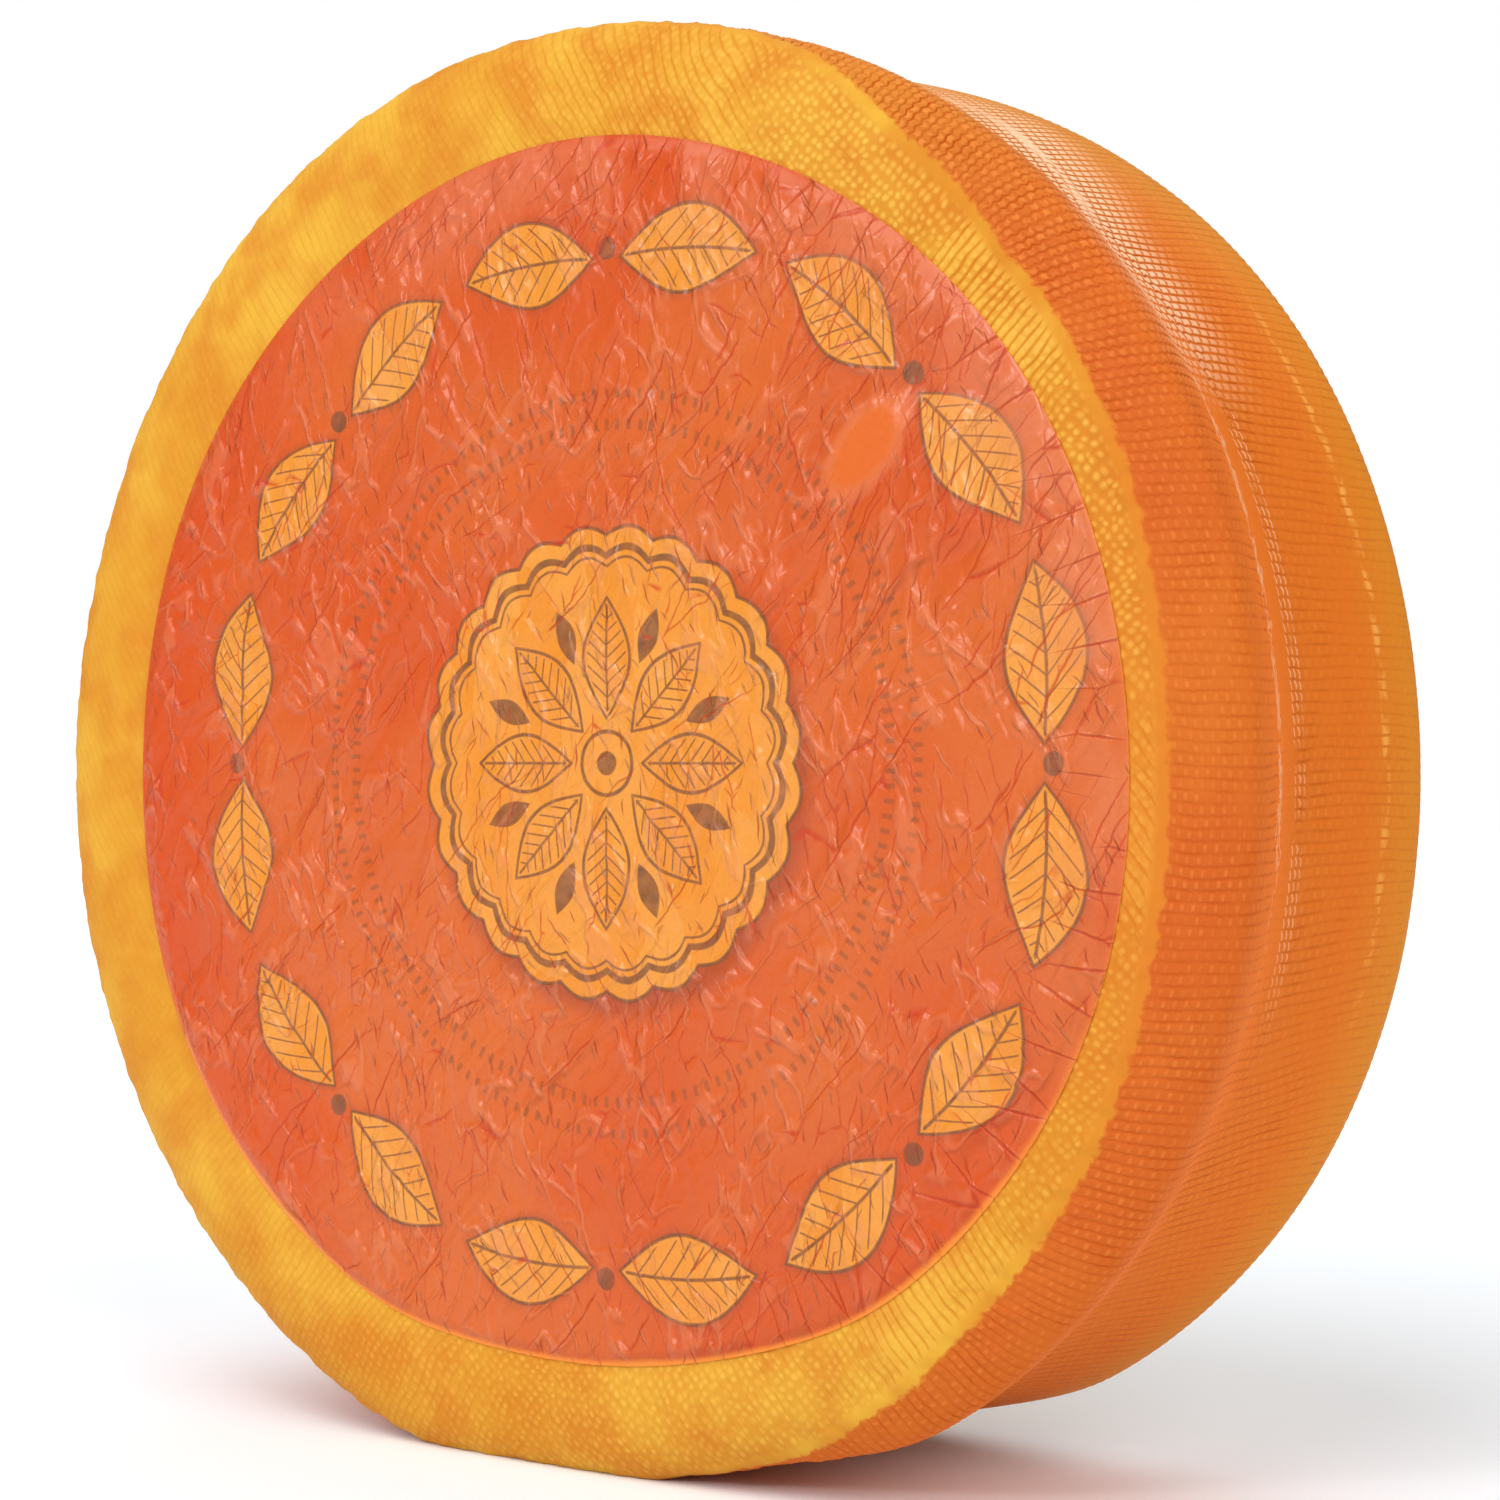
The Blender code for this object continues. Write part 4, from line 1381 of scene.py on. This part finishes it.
def unprinted_share(tree, fields, sides, upper_left, patch):
    """Where no print covers the film: at its lower edge, and on the cut edge's wall but for the left."""
    margin = add_node(tree, MULTIPLY_ADD, patch, -1.4, fields["hem"])
    bare = add_node(tree, SOFT_STEP, margin, 0.5, -0.6)
    bare = product(tree, bare, add_node(tree, SOFT_STEP, sides.outputs["Z"], -20.0, -70.0))
    wall = product(
        tree, add_node(tree, SOFT_STEP, fields["hem"], 0.10, 0.02),
        add_node(tree, SOFT_STEP, upper_left, 30.0, -30.0), 0.6,
    )
    return bare, wall


def film_colour(tree, fields, printed):
    """The film's colour, from its wrinkles and its print."""
    place = fields["place"]
    sides = add_node(tree, SPLIT, place)
    slow = add_node(tree, NOISE, Vector=place, Scale=0.02, Detail=2.0)
    patch = add_node(tree, NOISE, Vector=place, Scale=0.055, Detail=3.0)
    small = add_node(tree, NOISE, Vector=place, Scale=0.5, Detail=3.0)
    worn_ink = add_node(tree, RANGE, small, 0.3, 0.7, 0.70, 0.95)
    upper_left = add_node(tree, MULTIPLY_ADD, sides.outputs["X"], -1.2, sides.outputs["Z"])
    near_edge = add_node(tree, SOFT_STEP, fields["hem"], 20.0, 2.0)
    deep = product(tree, near_edge, add_node(tree, SOFT_STEP, upper_left, 10.0, 90.0), 0.8)
    # painted highlight round the blister's rim
    rim = product(tree, fields["bubble"], add_node(tree, SUBTRACT, 1.0, fields["bubble"]), 0.9)
    pale = painted_highlight_share(tree, fields, sides, near_edge, patch)
    # painted shade along creases, dark strokes and pleat lines
    dark = either(tree, fields["lines"], product(tree, fields["dark"], 0.9), fields["pleat"])
    bare, wall = unprinted_share(tree, fields, sides, upper_left, patch)
    gold = paint(tree, linear(FILM_GOLD[0]), (fields["facets"][1], linear(FILM_GOLD[1])))
    return paint(
        tree, linear(FILM_FIELD[0]),
        (add_node(tree, SOFT_STEP, slow, 0.35, 0.65), linear(FILM_FIELD[1])),
        (product(tree, fields["facets"][0], 0.35), linear(FILM_FACET)),
        (deep, linear(FILM_DEEP)),
        (product(tree, fields["bubble"], 0.6), linear(FILM_BLISTER)),
        # painted highlight round the blister's rim
        (rim, linear(FILM_HIGHLIGHT)),
        (product(tree, printed["shade"], 0.75), linear(FILM_SHADE)),
        (printed["gold"], gold),
        (product(tree, printed["ink"], worn_ink), linear(FILM_INK)),
        (product(tree, printed["marks"], 0.5), linear(FILM_INK)),
        # painted highlights on patches, raised strokes and fold ridges
        (pale, linear(FILM_HIGHLIGHT)),
        # painted shade along creases, dark strokes and pleat lines
        (product(tree, dark, 0.75), linear(FILM_CREASE_SHADE)),
        (bare, linear(FILM_HEM)),
        (wall, linear(FILM_HEM)),
    )


def film_material():
    material = bpy.data.materials.new("printed_polyethylene_film")
    material.use_nodes = True
    tree = material.node_tree
    shader = tree.nodes["Principled BSDF"]
    fields = film_fields(tree)
    colour = film_colour(tree, fields, print_fields(tree))
    tiny = add_node(tree, NOISE, Vector=fields["place"], Scale=0.7, Detail=2.0)
    skin = add_node(tree, MULTIPLY_ADD, tiny, 0.04, fields["height"])
    bump = add_node(tree, BUMP, Strength=1.0, Distance=0.001, Height=skin)
    rough = add_node(tree, RANGE, tiny, 0.3, 0.7, 0.22, 0.32)
    tree.links.new(colour.outputs[2], shader.inputs["Base Color"])
    tree.links.new(rough.outputs[0], shader.inputs["Roughness"])
    tree.links.new(bump.outputs[0], shader.inputs["Normal"])
    shader.inputs["IOR"].default_value = 1.5
    shader.inputs["Specular IOR Level"].default_value = 0.25
    return material


film_finish = film_material()
film = add_piece("printed_film_crumpled", film_sheet)
run_tree(film, wrinkle_tree(), {"Height": 1.0, "Material": film_finish})
report_piece(film)

# %% [markdown]
# ## Floor, light and world
# A pale floor and soft light, as in a product picture. Two wide soft lights stand in front, one above
# and one to the right, so the shadow falls behind the wheel and is darkest where it stands. A high one
# behind keeps the floor white. A small lamp in front, a little to the left, gives the film its glints.
# The world is white to the camera, and dimmer as a light, so that the shadow keeps its depth.

# %% Studio
FLOOR_SIZE = 8.0
WORLD_LIGHT = 0.26
SOFT_LIGHTS = (
    # name, direction round the wheel (0 in front, 90 at +X), height, width, all in degrees, strength
    ("soft_light_above", -12.0, 48.0, 50.0, 1.86),
    ("soft_light_right", 66.0, 34.0, 40.0, 1.31),
    ("soft_light_behind", 186.0, 62.0, 60.0, 0.95),
)
GLINT_PLACE = (-0.34, -1.30, 0.52)
GLINT_SIZE = 0.16
GLINT_POWER = 4.0


def make_floor():
    mesh = bpy.data.meshes.new("floor")
    half = FLOOR_SIZE / 2
    corners = [(-half, -half, 0), (half, -half, 0), (half, half, 0), (-half, half, 0)]
    mesh.from_pydata(corners, [], [(0, 1, 2, 3)])
    floor = add_piece("floor", mesh)
    material = bpy.data.materials.new("white_paper")
    material.use_nodes = True
    shader = material.node_tree.nodes["Principled BSDF"]
    shader.inputs["Base Color"].default_value = linear("#f6fbff")
    shader.inputs["Roughness"].default_value = 0.9
    mesh.materials.append(material)
    return floor


def make_lamp(name, kind, place, settings):
    """A lamp that looks at the middle of the wheel."""
    light = bpy.data.lights.new(name, kind)
    for setting, value in settings.items():
        setattr(light, setting, value)
    lamp = bpy.data.objects.new(name, light)
    lamp.location = place
    aim_at = Vector((0.0, 0.0, CENTRE_HEIGHT))
    lamp.rotation_euler = (aim_at - Vector(place)).to_track_quat("-Z", "Y").to_euler()
    bpy.context.scene.collection.objects.link(lamp)
    return lamp


def make_world():
    """A world that lights softly and is plain white where the camera sees it."""
    world = bpy.data.worlds.new("studio")
    bpy.context.scene.world = world
    world.use_nodes = True
    tree = world.node_tree
    seen = add_node(tree, ("ShaderNodeLightPath", {})).outputs["Is Camera Ray"]
    strength = add_node(tree, RANGE, seen, 0.0, 1.0, WORLD_LIGHT, 1.0)
    background = tree.nodes["Background"]
    background.inputs["Color"].default_value = (1.0, 1.0, 1.0, 1.0)
    tree.links.new(strength.outputs[0], background.inputs["Strength"])


make_floor()
make_world()
for name, turn_round, height, width, strength in SOFT_LIGHTS:
    bearing, rise = math.radians(turn_round), math.radians(height)
    level = 2.0 * math.cos(rise)
    place = (level * math.sin(bearing), -level * math.cos(bearing), CENTRE_HEIGHT + 2.0 * math.sin(rise))
    make_lamp(name, "SUN", place, {"angle": math.radians(width), "energy": strength})
make_lamp("glint_lamp", "AREA", GLINT_PLACE, {"size": GLINT_SIZE, "energy": GLINT_POWER})
bpy.context.scene.view_settings.view_transform = "Standard"
print("studio ready")

# %% [markdown]
# ## Hand over
# Each piece takes the place of its measured node and rides on the one body.

# %% Hand over
for piece, node, finish in ((wheel, "cheese_wheel", "rind"), (film, "printed_film", "film")):
    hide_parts(node)
    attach(piece, "root")
